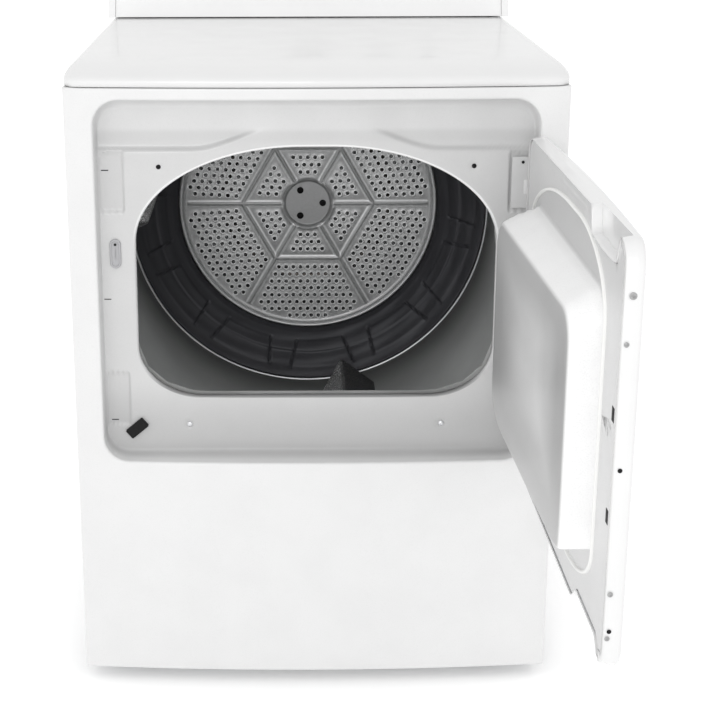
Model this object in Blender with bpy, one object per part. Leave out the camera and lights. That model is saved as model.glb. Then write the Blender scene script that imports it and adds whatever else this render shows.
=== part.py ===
"""A front-loading clothes dryer, door standing open.

Frame: metres, +Z up, +Y into the machine, +X to the right of someone facing the door.
The origin is the middle of the underside of the base pan, so the feet reach below it.
"""

import math

import bmesh
import bpy
from mathutils import Matrix, Vector

# Cabinet
WIDTH = 0.686
DEPTH = 0.700
PANEL_HEIGHT = 0.874
BOW = 0.0148
SHEET = 0.0012
GAP = 0.0005
LID_TOP = 0.902
FOOT_DROP = 0.020
STEM_RADIUS = 0.004
CONSOLE_TOP = 1.078
PAN_RISE = 0.0015
PAN_HEIGHT = 0.030
PAN_PAD = (0.245, 0.330)
FOOT_SPOTS = {
    "front_left": (-0.275, -0.275),
    "front_right": (0.275, -0.275),
    "rear_left": (-0.275, 0.285),
    "rear_right": (0.275, 0.285),
}
SIDE_FLANGE = 0.018
LID_ROLL = 0.018
LID_FALL = 0.110
LID_EDGE_Z = 0.882
LID_LINE_Y = 0.5745

# Front recess and door opening
RECESS_HALF = 0.3037
RECESS_LOW = 0.334
RECESS_HIGH = 0.857
RECESS_CORNER = 0.036
RECESS_DEPTH = 0.022
OPENING_HALF = 0.2525
OPENING_LOW = 0.424
OPENING_HIGH = 0.787
CATCH_X = -0.2780
EYE_Z = 0.600

# Door
DOOR_ANGLE = 90.4
DOOR_EDGE_X = 0.2955
DOOR_LENGTH = 0.582
DOOR_LOW = 0.341
DOOR_HIGH = 0.818
DOOR_PROUD = 0.0065
DOOR_INNER_Y = 0.0155
DOOR_SHEET = 0.001
DOOR_TUCK = 0.002
RIM_INSET = 0.0034
RIM_Y = 0.014
GRIP = (0.034, 0.160)
TOP_GRIP_FALL = 0.030
BOTTOM_GRIP_RISE = 0.022
TUB_DEPTH = 0.040
TUB_DRAFT = 0.026
HINGE_AXIS = (0.2995, -0.0035)
HINGE_HEIGHTS = {"upper": 0.737, "lower": 0.420}
KNUCKLE_RADIUS = 0.0028
STRIKE_Z = (0.625, 0.648)
LEVER_MIDDLE = (-0.2580, 0.3755)
LEVER_HALF = (0.0155, 0.0078)

# Drum
DRUM_Z = 0.5659
DRUM_RADIUS = 0.3180
DRUM_FRONT = 0.062
DRUM_REAR = 0.5715
DISC_Y = 0.6255
DISC_RADIUS = 0.2306
HUB_RADIUS = 0.0429
SHAFT_RADIUS = 0.010
SCREW_CIRCLE = 0.027
SCREW_RADIUS = 0.0058
BAFFLE_ANGLES = (12.6, 132.6, 252.6)
BAFFLE_HEIGHT = 0.058
BAFFLE_REACH = (0.105, 0.552)
HEATER_MIDDLE = (0.150, 0.6760)
HEATER_ROD = 0.008

# Drive and air path
MOTOR_X = 0.085
MOTOR_Z = 0.125
MOTOR_RADIUS = 0.062
BELT_Y = 0.330
BELT_WIDTH = 0.008
BELT_THICK = 0.0024
PULLEY_RADIUS = 0.0125
IDLER_X = -0.050
IDLER_Z = 0.150
IDLER_RADIUS = 0.022
IDLER_PIVOT = (0.0, 0.095)
DUCT_X = -0.115
DUCT_Z = 0.105
DUCT_RADIUS = 0.051
BLOWER_FRONT = 0.066
INLET_X = 0.060
INLET_Z = 0.184
BLOWER_REAR = 0.140
BLOWER_WALL = 0.002
BLOWER_HEIGHTS = (0.032, 0.226)
INLET_RADIUS = 0.024
WHEEL_RADIUS = 0.074
PULLEY_FLANGE = 0.003
CRADLE_HALF = 0.060
POST_FOOT_Z = 0.0025

# Controls
FASCIA_FOOT = (0.583, 0.9045)
FASCIA_HEAD = (0.640, 1.076)
KNOBS = {"cycle_knob": (0.0, 0.032, 0.022), "temperature_knob": (0.1225, 0.025, 0.018)}
BUTTON = (0.209, 0.011, 0.008)
CONTROL_RISE = 0.088

FRONT = -DEPTH / 2
HALF = WIDTH / 2


def clear_scene():
    for old in list(bpy.data.objects):
        bpy.data.objects.remove(old, do_unlink=True)


def material(name, colour, roughness, metallic=0.0):
    made = bpy.data.materials.get(name)
    if made is None:
        made = bpy.data.materials.new(name)
        made.use_nodes = True
        shader = made.node_tree.nodes["Principled BSDF"]
        shader.inputs["Base Color"].default_value = (*colour, 1.0)
        shader.inputs["Roughness"].default_value = roughness
        shader.inputs["Metallic"].default_value = metallic
    return made


LOOKS = {
    "white_enamel": ((0.86, 0.86, 0.86), 0.25, 0.0),
    "galvanised_steel": ((0.55, 0.56, 0.57), 0.40, 1.0),
    "bright_steel": ((0.70, 0.71, 0.72), 0.25, 1.0),
    "dark_drum_coat": ((0.06, 0.06, 0.065), 0.30, 0.6),
    "drum_coat": ((0.30, 0.30, 0.31), 0.45, 0.5),
    "dark_plastic": ((0.035, 0.035, 0.04), 0.45, 0.0),
    "grey_plastic": ((0.42, 0.42, 0.43), 0.45, 0.0),
    "white_plastic": ((0.82, 0.82, 0.82), 0.40, 0.0),
    "felt": ((0.62, 0.60, 0.56), 0.95, 0.0),
    "white_rubber": ((0.80, 0.80, 0.79), 0.60, 0.0),
    "belt_rubber": ((0.02, 0.02, 0.02), 0.70, 0.0),
    "motor_enamel": ((0.12, 0.12, 0.13), 0.50, 0.3),
    "bronze": ((0.50, 0.33, 0.18), 0.40, 1.0),
    "heater_alloy": ((0.35, 0.32, 0.30), 0.50, 1.0),
}


def finish(mesh, name, look, origin=None, smooth=True, parent=None):
    """Give a finished mesh its object, material and origin; the mesh is in world coordinates."""
    mesh.name = name
    thing = bpy.data.objects.new(name, mesh)
    bpy.context.scene.collection.objects.link(thing)
    # Each piece has its own material, so that a colour is changed on one piece alone.
    colour, roughness, metallic = LOOKS[look]
    thing.data.materials.append(material(f"{name}_{look}", colour, roughness, metallic))
    if origin is not None:
        mesh.transform(Matrix.Translation(-Vector(origin)))
        thing.location = origin
    if parent is not None:
        thing.location = Vector(thing.location) - parent.location
        thing.parent = parent
    if smooth:
        mesh.shade_smooth()
        mesh.set_sharp_from_angle(angle=math.radians(35))
    return thing


def loft_mesh(loops, caps=(False, False), wrap=False):
    """A mesh through closed loops of equal length, each linked to the next."""
    count = len(loops[0])
    points = [point for loop in loops for point in loop]
    faces = []
    pairs = list(range(len(loops) - 1))
    if wrap:
        pairs.append(len(loops) - 1)
    for row in pairs:
        below = row * count
        above = ((row + 1) % len(loops)) * count
        for i in range(count):
            j = (i + 1) % count
            faces.append((below + i, below + j, above + j, above + i))
    if caps[0]:
        faces.append(tuple(reversed(range(count))))
    if caps[1]:
        faces.append(tuple(range(len(points) - count, len(points))))
    mesh = bpy.data.meshes.new("shape")
    mesh.from_pydata([tuple(p) for p in points], [], faces)
    outward(mesh)
    return mesh


def outward(mesh):
    made = bmesh.new()
    made.from_mesh(mesh)
    bmesh.ops.recalc_face_normals(made, faces=made.faces)
    made.to_mesh(mesh)
    made.free()


def box_mesh(low, high):
    x0, y0, z0 = low
    x1, y1, z1 = high
    loops = [[(x, y, z) for x, y in ((x0, y0), (x1, y0), (x1, y1), (x0, y1))] for z in (z0, z1)]
    return loft_mesh(loops, caps=(True, True))


def turned_mesh(profile, segments=32, base=(0, 0, 0), axis=(0, 1, 0), closed=True):
    """Turn a profile of (radius, distance along the axis) points round an axis through base."""
    frame = Vector((0, 0, 1)).rotation_difference(Vector(axis)).to_matrix().to_4x4()
    frame = Matrix.Translation(Vector(base)) @ frame
    made = bmesh.new()
    rings = []
    for radius, along in profile:
        if radius < 1e-9:
            rings.append([made.verts.new(frame @ Vector((0, 0, along)))])
            continue
        turn = [2 * math.pi * k / segments for k in range(segments)]
        points = [Vector((radius * math.cos(a), radius * math.sin(a), along)) for a in turn]
        rings.append([made.verts.new(frame @ point) for point in points])
    pairs = list(zip(rings, rings[1:]))
    if closed:
        pairs.append((rings[-1], rings[0]))
    for first, second in pairs:
        if len(first) == 1 and len(second) == 1:
            continue
        for k in range(segments):
            n = (k + 1) % segments
            near, far = len(first), len(second)
            corners = [first[k % near], first[n % near], second[n % far], second[k % far]]
            made.faces.new(list(dict.fromkeys(corners)))
    bmesh.ops.recalc_face_normals(made, faces=made.faces)
    mesh = bpy.data.meshes.new("turned")
    made.to_mesh(mesh)
    made.free()
    return mesh


def thickened(points, thickness):
    """The closed outline of an open polyline given a thickness to its left."""
    flat = [Vector(p) for p in points]
    shifted = []
    for i, here in enumerate(flat):
        before = flat[i] - flat[i - 1] if i else flat[1] - flat[0]
        after = flat[i + 1] - flat[i] if i + 1 < len(flat) else before
        normals = [Vector((-d.y, d.x)).normalized() for d in (before, after)]
        middle = (normals[0] + normals[1]).normalized()
        shifted.append(here + middle * thickness / max(0.4, middle.dot(normals[0])))
    return [tuple(p) for p in flat] + [tuple(p) for p in reversed(shifted)]


def prism_mesh(outline, start, end, plane="YZ"):
    """Extrude a flat outline: plane YZ along x, XZ along y, XY along z."""
    places = {
        "YZ": lambda a, b, c: (c, a, b),
        "XZ": lambda a, b, c: (a, c, b),
        "XY": lambda a, b, c: (a, b, c),
    }
    place = places[plane]
    return loft_mesh([[place(a, b, c) for a, b in outline] for c in (start, end)], caps=(True, True))


def shell(thing, thickness):
    """Give a surface its sheet thickness, on the side away from its normals."""
    thick = thing.modifiers.new("sheet", "SOLIDIFY")
    thick.thickness = thickness
    thick.offset = -1.0
    thick.use_even_offset = True


def cutter(mesh, name):
    mesh.name = name
    tool = bpy.data.objects.new(name, mesh)
    bpy.context.scene.collection.objects.link(tool)
    tool.hide_render = True
    tool.display_type = "WIRE"
    return tool


def boolean(thing, mesh, name, operation="DIFFERENCE"):
    step = thing.modifiers.new(name, "BOOLEAN")
    step.operation = operation
    step.object = cutter(mesh, f"{thing.name}_{name}")
    return step


def corner_points(cx, cz, rx, rz, start, steps=6):
    """A quarter of an ellipse, anticlockwise from the start angle in degrees."""
    angles = [math.radians(start + 90 * k / steps) for k in range(steps + 1)]
    return [(cx + rx * math.cos(a), cz + rz * math.sin(a)) for a in angles]


def rounded_rectangle(x0, x1, z0, z1, radius, steps=6):
    return (
        corner_points(x1 - radius, z1 - radius, radius, radius, 0, steps)
        + corner_points(x0 + radius, z1 - radius, radius, radius, 90, steps)
        + corner_points(x0 + radius, z0 + radius, radius, radius, 180, steps)
        + corner_points(x1 - radius, z0 + radius, radius, radius, 270, steps)
    )


def arched_outline(half, low, high, top_run, top_drop, foot_run, foot_rise, steps=7):
    """The arched door-opening shape: straight sides, elliptical shoulders and smaller lower corners."""
    shoulder = half - top_run
    heel = half - foot_run
    return (
        corner_points(top_run, high - top_drop, shoulder, top_drop, 0, steps)
        + corner_points(-top_run, high - top_drop, shoulder, top_drop, 90, steps)
        + corner_points(-foot_run, low + foot_rise, heel, foot_rise, 180, steps)
        + corner_points(foot_run, low + foot_rise, heel, foot_rise, 270, steps)
    )


def opening_outline(grow=0.0):
    return arched_outline(
        OPENING_HALF + grow, OPENING_LOW - grow, OPENING_HIGH + grow, 0.020, 0.135 + grow, 0.160, 0.075 + grow
    )


def tub_outline(inset):
    return arched_outline(
        0.2435 - inset, 0.434 + inset * 0.5, 0.752 - inset * 0.75, 0.135, 0.105, 0.155, 0.075
    )


def star_loop(outline, angles, centre):
    """The outline's points seen from a centre in the given directions."""
    cx, cz = centre
    found = []
    for angle in angles:
        dx, dz = math.cos(angle), math.sin(angle)
        best = None
        for (ax, az), (bx, bz) in zip(outline, outline[1:] + outline[:1]):
            ex, ez = bx - ax, bz - az
            det = dx * -ez + dz * ex
            if abs(det) < 1e-14:
                continue
            reach = ((ax - cx) * -ez + (az - cz) * ex) / det
            along = (dx * (az - cz) - dz * (ax - cx)) / det
            if reach > 0 and -1e-6 <= along <= 1 + 1e-6:
                best = reach if best is None else max(best, reach)
        found.append((cx + dx * best, cz + dz * best))
    return found


def directions(count, rectangle, centre):
    """Evenly spread directions and the exact ones of a rectangle's corners."""
    x0, x1, z0, z1 = rectangle
    corners = [math.atan2(z - centre[1], x - centre[0]) % (2 * math.pi) for x in (x0, x1) for z in (z0, z1)]
    even = [2 * math.pi * k / count for k in range(count)]
    keep = [a for a in even if min(abs(a - c) for c in corners) > 0.4 * 2 * math.pi / count]
    return sorted(keep + corners)


def bow(x):
    return -BOW * (1 - (x / HALF) ** 2)


def plug(radius, base, axis=(0, 1, 0), reach=0.01, segments=24):
    """A round cutter, reaching the same way to both sides of a base point."""
    profile = [(0, -reach), (radius, -reach), (radius, reach), (0, reach)]
    return turned_mesh(profile, segments, base, axis, closed=False)


def cabinet():
    base_pan()
    corner = HALF - SIDE_FLANGE
    front, back = FRONT + 0.0135, -FRONT - 0.002
    for side, name in ((-1, "left_side_panel"), (1, "right_side_panel")):
        path = [(side * corner, front), (side * HALF, front), (side * HALF, back), (side * corner, back)]
        outline = thickened(path, side * SHEET)
        finish(prism_mesh(outline, PAN_HEIGHT + 0.001, PANEL_HEIGHT - 0.001, "XY"), name, "white_enamel")
    rear = finish(
        box_mesh((-HALF, -FRONT - SHEET, 0.0), (HALF, -FRONT, PANEL_HEIGHT - 0.001)),
        "rear_panel", "galvanised_steel",
    )
    boolean(rear, plug(DUCT_RADIUS + 0.004, (DUCT_X, -FRONT, DUCT_Z), segments=32), "exhaust_hole")
    boolean(rear, plug(SHAFT_RADIUS + 0.004, (0, -FRONT, DRUM_Z)), "shaft_hole")
    cover = finish(
        box_mesh((0.185, -FRONT + GAP, 0.060), (0.285, -FRONT + 0.022, 0.190)), "terminal_cover", "galvanised_steel"
    )
    boolean(cover, box_mesh((0.187, -FRONT - 0.01, 0.062), (0.283, -FRONT + 0.020, 0.188)), "hollow")
    block = box_mesh((0.205, -FRONT + GAP, 0.090), (0.265, -FRONT + 0.016, 0.130))
    finish(block, "terminal_block", "dark_plastic")


def base_pan():
    """The pan under the cabinet, with a pressed pad in its middle, and its four levelling feet."""
    half, front, back = HALF - 0.004, FRONT + 0.014, -FRONT - 0.004
    base = finish(box_mesh((-half, front, PAN_RISE), (half, back, PAN_HEIGHT)), "base_pan", "galvanised_steel")
    wide, deep = PAN_PAD
    boolean(base, box_mesh((-wide, -deep, 0), (wide, deep, PAN_RISE + 0.001)), "pad", "UNION")
    wall = 0.002
    low = (-half + wall, front + wall, PAN_RISE + wall)
    boolean(base, box_mesh(low, (half - wall, back - wall, PAN_HEIGHT + 0.01)), "hollow")
    up = (0, 0, 1)
    for name, (x, y) in FOOT_SPOTS.items():
        boolean(base, plug(STEM_RADIUS + 0.0008, (x, y, 0), up, segments=16), f"{name}_stem_hole")
        profile = [
            (0, -FOOT_DROP), (0.017, -FOOT_DROP), (0.019, -0.014), (0.012, -0.0103), (0.012, -GAP),
            (STEM_RADIUS, -GAP), (STEM_RADIUS, 0.028), (0, 0.028),
        ]
        mesh = turned_mesh(profile, 16, (x, y, 0), up, closed=False)
        finish(mesh, f"foot_{name}", "dark_plastic", (x, y, 0))


def front_panel():
    centre = (0, EYE_Z)
    rectangle = (-HALF, HALF, 0, PANEL_HEIGHT)
    angles = directions(60, rectangle, centre)

    def loop(outline, height):
        return [(x, FRONT + height(x), z) for x, z in star_loop(outline, angles, centre)]

    edge = [(-HALF, 0), (HALF, 0), (HALF, PANEL_HEIGHT), (-HALF, PANEL_HEIGHT)]
    wide = rounded_rectangle(
        -RECESS_HALF - 0.004, RECESS_HALF + 0.004, RECESS_LOW - 0.004, RECESS_HIGH + 0.004, RECESS_CORNER + 0.004
    )
    rim = rounded_rectangle(-RECESS_HALF, RECESS_HALF, RECESS_LOW, RECESS_HIGH, RECESS_CORNER)
    bed = rounded_rectangle(-0.300, 0.300, 0.3432, 0.840, 0.030)
    loops = [
        loop(edge, lambda x: 0.012),
        loop(edge, bow),
        loop(wide, bow),
        loop(rim, lambda x: bow(x) + 0.004),
        loop(bed, lambda x: RECESS_DEPTH),
        loop(opening_outline(0.003), lambda x: RECESS_DEPTH),
        loop(opening_outline(), lambda x: RECESS_DEPTH + 0.003),
        loop(opening_outline(), lambda x: RECESS_DEPTH + 0.008),
    ]
    panel = finish(facing_front(loft_mesh(loops)), "front_panel", "white_enamel")
    shell(panel, 0.001)
    catch_hole = box_mesh((CATCH_X - 0.0032, FRONT + 0.010, 0.6205), (CATCH_X + 0.0032, FRONT + 0.040, 0.6525))
    boolean(panel, catch_hole, "catch_hole")
    boolean(panel, prism_mesh(lever_outline(0.0010), FRONT + 0.010, FRONT + 0.040, "XZ"), "lever_hole")


def lever_outline(grow=0.0):
    """The slanted outline of the door switch's plunger."""
    lean = math.radians(40)
    along = Vector((math.cos(lean), math.sin(lean))) * (LEVER_HALF[0] + grow)
    across = Vector((-math.sin(lean), math.cos(lean))) * (LEVER_HALF[1] + grow)
    middle = Vector(LEVER_MIDDLE)
    return [tuple(middle + along * a + across * b) for a, b in ((-1, -1), (1, -1), (1, 1), (-1, 1))]


def facing_front(mesh):
    """Turn an open surface so that most of its faces look toward -Y."""
    if sum(face.normal.y * face.area for face in mesh.polygons) > 0:
        mesh.flip_normals()
    return mesh


def top_panel():
    """The lid: a rolled sheet, with a fine pressed line across it in front of the console."""
    back = DEPTH / 2
    angles = directions(44, (-HALF, HALF, FRONT, back), (0, 0))

    def loop(side, front, z):
        outline = rounded_rectangle(-HALF + side, HALF - side, FRONT + front, back - side * 0.3, 0.020, 4)
        return [(x, y + (bow(x) if y < -0.2 else 0), z) for x, y in star_loop(outline, angles, (0, 0))]

    loops = [loop(0, 0, PANEL_HEIGHT + 0.001), loop(0, 0, LID_EDGE_Z)]
    for step in range(1, 5):
        turn = math.radians(22.5 * step)
        run = 1 - math.cos(turn)
        rise = (LID_TOP - LID_EDGE_Z) * math.sin(turn)
        loops.append(loop(LID_ROLL * run, LID_FALL * run, LID_EDGE_Z + rise))
    lid = finish(loft_mesh(loops, caps=(False, True)), "top_panel", "white_enamel")
    if lid.data.polygons[-1].normal.z < 0:
        lid.data.flip_normals()
    shell(lid, SHEET)
    line = box_mesh((-HALF, FRONT + LID_LINE_Y, LID_TOP - 0.0004), (HALF, FRONT + LID_LINE_Y + 0.0015, LID_TOP + 0.01))
    boolean(lid, line, "line")


def fascia_frame():
    """The point on the fascia at the controls' height, and its outward normal."""
    run = Vector((FASCIA_HEAD[0] - FASCIA_FOOT[0], FASCIA_HEAD[1] - FASCIA_FOOT[1]))
    share = CONTROL_RISE / run.y
    normal = Vector((0, -run.y, run.x)).normalized()
    foot = Vector((0, FRONT + FASCIA_FOOT[0] + run.x * share, FASCIA_FOOT[1] + CONTROL_RISE))
    return foot, normal


def console():
    half = 0.3300
    back = 0.697
    rear_path = [(0.600, 0.9035), (back, 0.9035), (back, 1.070), (0.690, CONSOLE_TOP), (0.650, CONSOLE_TOP)]
    outline = [(FRONT + y, z) for y, z in thickened(rear_path, 0.0015)]
    finish(prism_mesh(outline, -half, half), "console_housing", "white_enamel")
    face_path = [(FRONT + FASCIA_FOOT[0], FASCIA_FOOT[1]), (FRONT + FASCIA_HEAD[0], FASCIA_HEAD[1])]
    fascia = finish(prism_mesh(thickened(face_path, -0.0025), -half, half), "console_fascia", "grey_plastic")
    cap = [(0.580, 0.9035), (0.698, 0.9035), (0.698, 1.072), (0.690, 1.0795), (0.645, 1.0795), (0.636, 1.074)]
    for side, name in ((-1, "console_left_cap"), (1, "console_right_cap")):
        ends = sorted((side * (half + GAP), side * (half + 0.012)))
        finish(prism_mesh([(FRONT + y, z) for y, z in cap], *ends), name, "white_plastic")
    foot, normal = fascia_frame()
    for name, (x, radius, tall) in KNOBS.items():
        base = foot + Vector((x, 0, 0))
        boolean(fascia, plug(0.0065, base, normal, 0.02, 20), f"{name}_hole")
        profile = [
            (0, -0.008), (0.004, -0.008), (0.004, 0.001), (radius, 0.001), (radius, 0.006),
            (radius * 0.82, 0.009), (radius * 0.76, tall), (0, tall),
        ]
        finish(turned_mesh(profile, 32, base, normal, closed=False), name, "white_plastic", tuple(base))
    x, radius, tall = BUTTON
    base = foot + Vector((x, 0, 0))
    boolean(fascia, plug(radius + 0.001, base, normal, 0.02), "button_hole")
    profile = [(0, -0.006), (radius, -0.006), (radius, tall - 0.002), (radius - 0.002, tall), (0, tall)]
    finish(turned_mesh(profile, 24, base, normal, closed=False), "start_button", "grey_plastic", tuple(base))
    body = [(0, -0.034), (0.028, -0.034), (0.028, -0.0088), (0, -0.0088)]
    finish(turned_mesh(body, 24, foot, normal, closed=False), "cycle_timer", "grey_plastic")


def front_bulkhead():
    rectangle = (-0.322, 0.322, 0.215, 0.868)
    x0, x1, z0, z1 = rectangle
    angles = directions(48, rectangle, (0, EYE_Z))
    inner = star_loop(opening_outline(0.0035), angles, (0, EYE_Z))
    outer = star_loop([(x0, z0), (x1, z0), (x1, z1), (x0, z1)], angles, (0, EYE_Z))
    near, far = 0.0500, 0.0512
    loops = [
        [(x, FRONT + y, z) for x, z in loop]
        for loop, y in ((outer, near), (inner, near), (inner, far), (outer, far))
    ]
    finish(loft_mesh(loops, wrap=True), "front_bulkhead", "galvanised_steel")
    seat = far + 0.0004
    seal = [(0.300, seat), (0.3165, seat), (0.3165, 0.0602), (0.300, 0.0602)]
    finish(turned_mesh(seal, 48, (0, FRONT, DRUM_Z)), "front_felt_seal", "felt")
    glide = (0.2900, 0.2985)
    for side, name in ((-1, "drum_glide_left"), (1, "drum_glide_right")):
        arc = [math.radians(side * 28 + spread) for spread in (-5, -2.5, 0, 2.5, 5)]
        outline = [(glide[0] * math.sin(a), DRUM_Z + glide[0] * math.cos(a)) for a in arc]
        outline += [(glide[1] * math.sin(a), DRUM_Z + glide[1] * math.cos(a)) for a in reversed(arc)]
        finish(prism_mesh(outline, FRONT + seat, FRONT + 0.0600, "XZ"), name, "white_plastic")


def lint_parts():
    """A flat duct behind the lower front, with a foot that reaches back to the blower, and its lift-out screen."""
    near, far, back = FRONT + 0.0245, FRONT + 0.0495, FRONT + 0.0655
    wall = 0.0015
    half, bottom = 0.110, 0.155
    foot_left, foot_right, foot_top = 0.015, 0.105, 0.2130
    duct = finish(box_mesh((-half, near, bottom), (half, far, 0.4160)), "lint_duct", "galvanised_steel")
    boolean(duct, box_mesh((foot_left, far - 0.002, bottom), (foot_right, back, foot_top)), "foot", "UNION")
    hollow = box_mesh((-half + wall, near + wall, bottom + wall), (half - wall, far - wall, 0.43))
    boolean(duct, hollow, "hollow")
    foot_low = (foot_left + wall, far - 0.01, bottom + wall)
    boolean(duct, box_mesh(foot_low, (foot_right - wall, back - wall, foot_top - wall)), "foot_hollow")
    boolean(duct, plug(INLET_RADIUS, (INLET_X, back, INLET_Z)), "outlet")
    low = 0.2450
    middle = FRONT + 0.0395
    mesh = box_mesh((-0.1060, middle - 0.0075, low), (0.1060, middle + 0.0075, 0.4140))
    screen = finish(mesh, "lint_filter", "grey_plastic", (0, middle, low))
    boolean(screen, box_mesh((-0.100, middle - 0.0055, low + 0.006), (0.100, middle + 0.0055, low + 0.157)), "inside")
    for level in range(3):
        sill = low + 0.012 + level * 0.048
        window = box_mesh((-0.094, middle - 0.02, sill), (0.094, middle + 0.02, sill + 0.040))
        boolean(screen, window, f"window_{level}")
    grip = box_mesh((-0.045, middle - 0.004, 0.4060), (0.045, middle + 0.004, 0.4200))
    boolean(screen, grip, "finger_slot")


def door_closed():
    """The door's pieces, modelled shut and hung on an empty that swings them open."""
    hinge = bpy.data.objects.new("door_swing", None)
    hinge.location = (HINGE_AXIS[0], FRONT + HINGE_AXIS[1], 0)
    hinge.rotation_euler = (0, 0, math.radians(DOOR_ANGLE))
    bpy.context.scene.collection.objects.link(hinge)
    bpy.context.view_layer.update()
    origin = tuple(hinge.location)

    free = DOOR_EDGE_X - DOOR_LENGTH
    middle = (DOOR_EDGE_X + free) / 2
    angles = directions(56, (free, DOOR_EDGE_X, DOOR_LOW, DOOR_HIGH), (middle, EYE_Z))

    def crown(x):
        return -DOOR_PROUD - (BOW - 0.004) * (1 - ((x - middle) / (DOOR_LENGTH / 2)) ** 2)

    def loop(outline, height):
        return [(x, FRONT + height(x), z) for x, z in star_loop(outline, angles, (middle, EYE_Z))]

    def frame(inset, radius):
        return rounded_rectangle(free + inset, DOOR_EDGE_X - inset, DOOR_LOW + inset, DOOR_HIGH - inset, radius)

    skin_loops = [
        loop(frame(DOOR_TUCK, 0.024), lambda x: DOOR_INNER_Y),
        loop(frame(0, 0.026), lambda x: crown(x) + 0.004),
        loop(frame(0.004, 0.024), crown),
        loop(frame(0.100, 0.020), crown),
        loop(frame(0.200, 0.015), crown),
    ]
    skin_mesh = facing_front(loft_mesh(skin_loops, caps=(False, True)))
    skin = finish(skin_mesh, "door_outer_panel", "white_enamel", origin, parent=hinge)
    shell(skin, DOOR_SHEET)

    panel_loops = [
        loop(frame(RIM_INSET, 0.0226), lambda x: RIM_Y - 0.008),
        loop(frame(RIM_INSET, 0.0226), lambda x: RIM_Y),
        loop(tub_outline(-0.004), lambda x: RIM_Y),
        loop(tub_outline(0), lambda x: RIM_Y + 0.004),
        loop(tub_outline(TUB_DRAFT * 0.75), lambda x: RIM_Y + TUB_DEPTH * 0.85),
        loop(tub_outline(TUB_DRAFT * 1.15), lambda x: RIM_Y + TUB_DEPTH),
    ]
    inner_mesh = facing_front(loft_mesh(panel_loops, caps=(False, True)))
    inner = finish(inner_mesh, "door_inner_panel", "white_enamel", origin, parent=hinge)
    inner.data.flip_normals()
    shell(inner, DOOR_SHEET)

    grips = (
        ("top_grip", DOOR_HIGH - TOP_GRIP_FALL, DOOR_HIGH + 0.01),
        ("bottom_grip", DOOR_LOW - 0.01, DOOR_LOW + BOTTOM_GRIP_RISE),
    )
    here = Matrix.Translation(-Vector(origin))
    for name, low, high in grips:
        for thing, start in ((skin, -0.002), (inner, -0.012)):
            notch = box_mesh((free + GRIP[0], FRONT + start, low), (free + GRIP[1], FRONT + 0.030, high))
            notch.transform(here)
            boolean(thing, notch, name).object.parent = hinge

    gasket = star_loop(opening_outline(0.008), angles, (0, EYE_Z))
    wide = star_loop(opening_outline(0.015), angles, (0, EYE_Z))
    near, far = FRONT + DOOR_INNER_Y - 0.0012, FRONT + DOOR_INNER_Y + 0.0045
    loops = [[(x, y, z) for x, z in line] for line, y in ((gasket, near), (wide, near), (wide, far), (gasket, far))]
    finish(loft_mesh(loops, wrap=True), "door_seal", "white_rubber", origin, parent=hinge)

    low = (CATCH_X - 0.0012, near, STRIKE_Z[0])
    mesh = box_mesh(low, (CATCH_X + 0.0012, FRONT + DOOR_INNER_Y + 0.009, STRIKE_Z[1]))
    finish(mesh, "door_strike", "bright_steel", origin, parent=hinge)
    return hinge


def hinges(swing):
    """Each hinge has a leaf on the recess floor, and a leaf on the door's edge whose pin turns in its knuckles."""
    ax, ay = HINGE_AXIS
    axis_y = FRONT + ay
    bore = KNUCKLE_RADIUS - 0.0010
    for level, z in HINGE_HEIGHTS.items():
        plate = box_mesh((0.2700, FRONT + 0.0203, z - 0.036), (0.2984, FRONT + 0.0215, z + 0.036))
        leaf = finish(plate, f"{level}_hinge_body_leaf", "bright_steel")
        for side in (-1, 1):
            low, high = sorted((z + side * 0.0105, z + side * 0.030))
            arm = box_mesh((0.2972, axis_y + 0.0020, low), (0.2984, FRONT + 0.0208, high))
            boolean(leaf, arm, f"arm_{low:.3f}", "UNION")
            ring = [(bore, low), (KNUCKLE_RADIUS, low), (KNUCKLE_RADIUS, high), (bore, high)]
            boolean(leaf, turned_mesh(ring, 12, (ax, axis_y, 0), (0, 0, 1)), f"knuckle_{low:.3f}", "UNION")
        pin = bore - 0.0004
        spool = [
            (0, z - 0.032), (pin, z - 0.032), (pin, z - 0.010), (KNUCKLE_RADIUS, z - 0.010),
            (KNUCKLE_RADIUS, z + 0.010), (pin, z + 0.010), (pin, z + 0.032), (0, z + 0.032),
        ]
        moving = turned_mesh(spool, 12, (ax, axis_y, 0), (0, 0, 1), closed=False)
        origin = tuple(swing.location)
        wing = finish(moving, f"{level}_hinge_door_leaf", "bright_steel", origin, parent=swing)
        strap = box_mesh(
            (DOOR_EDGE_X + 0.0004, axis_y - 0.0005, z - 0.010), (DOOR_EDGE_X + 0.0014, FRONT + 0.0135, z + 0.010)
        )
        strap.transform(Matrix.Translation(-Vector(origin)))
        boolean(wing, strap, "strap", "UNION").object.parent = swing


def catch_and_switch():
    outline = []
    for z, start in ((0.6500, 0), (0.6500, 90), (0.6235, 180), (0.6235, 270)):
        outline += corner_points(-0.2811, z, 0.0077, 0.0078, start, 4)
    catch = finish(prism_mesh(outline, FRONT + 0.0190, FRONT + 0.0217, "XZ"), "door_catch", "grey_plastic")
    slot = box_mesh((CATCH_X - 0.0026, FRONT + 0.010, 0.6220), (CATCH_X + 0.0026, FRONT + 0.030, 0.6510))
    boolean(catch, slot, "slot")
    body = box_mesh((-0.276, FRONT + 0.0300, 0.3580), (-0.240, FRONT + 0.0440, 0.3930))
    finish(body, "door_switch_body", "dark_plastic")
    tip = FRONT + 0.0165
    lever = prism_mesh(lever_outline(), tip, FRONT + 0.0255, "XZ")
    finish(lever, "door_switch_lever", "dark_plastic", (LEVER_MIDDLE[0], tip, LEVER_MIDDLE[1]))


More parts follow.
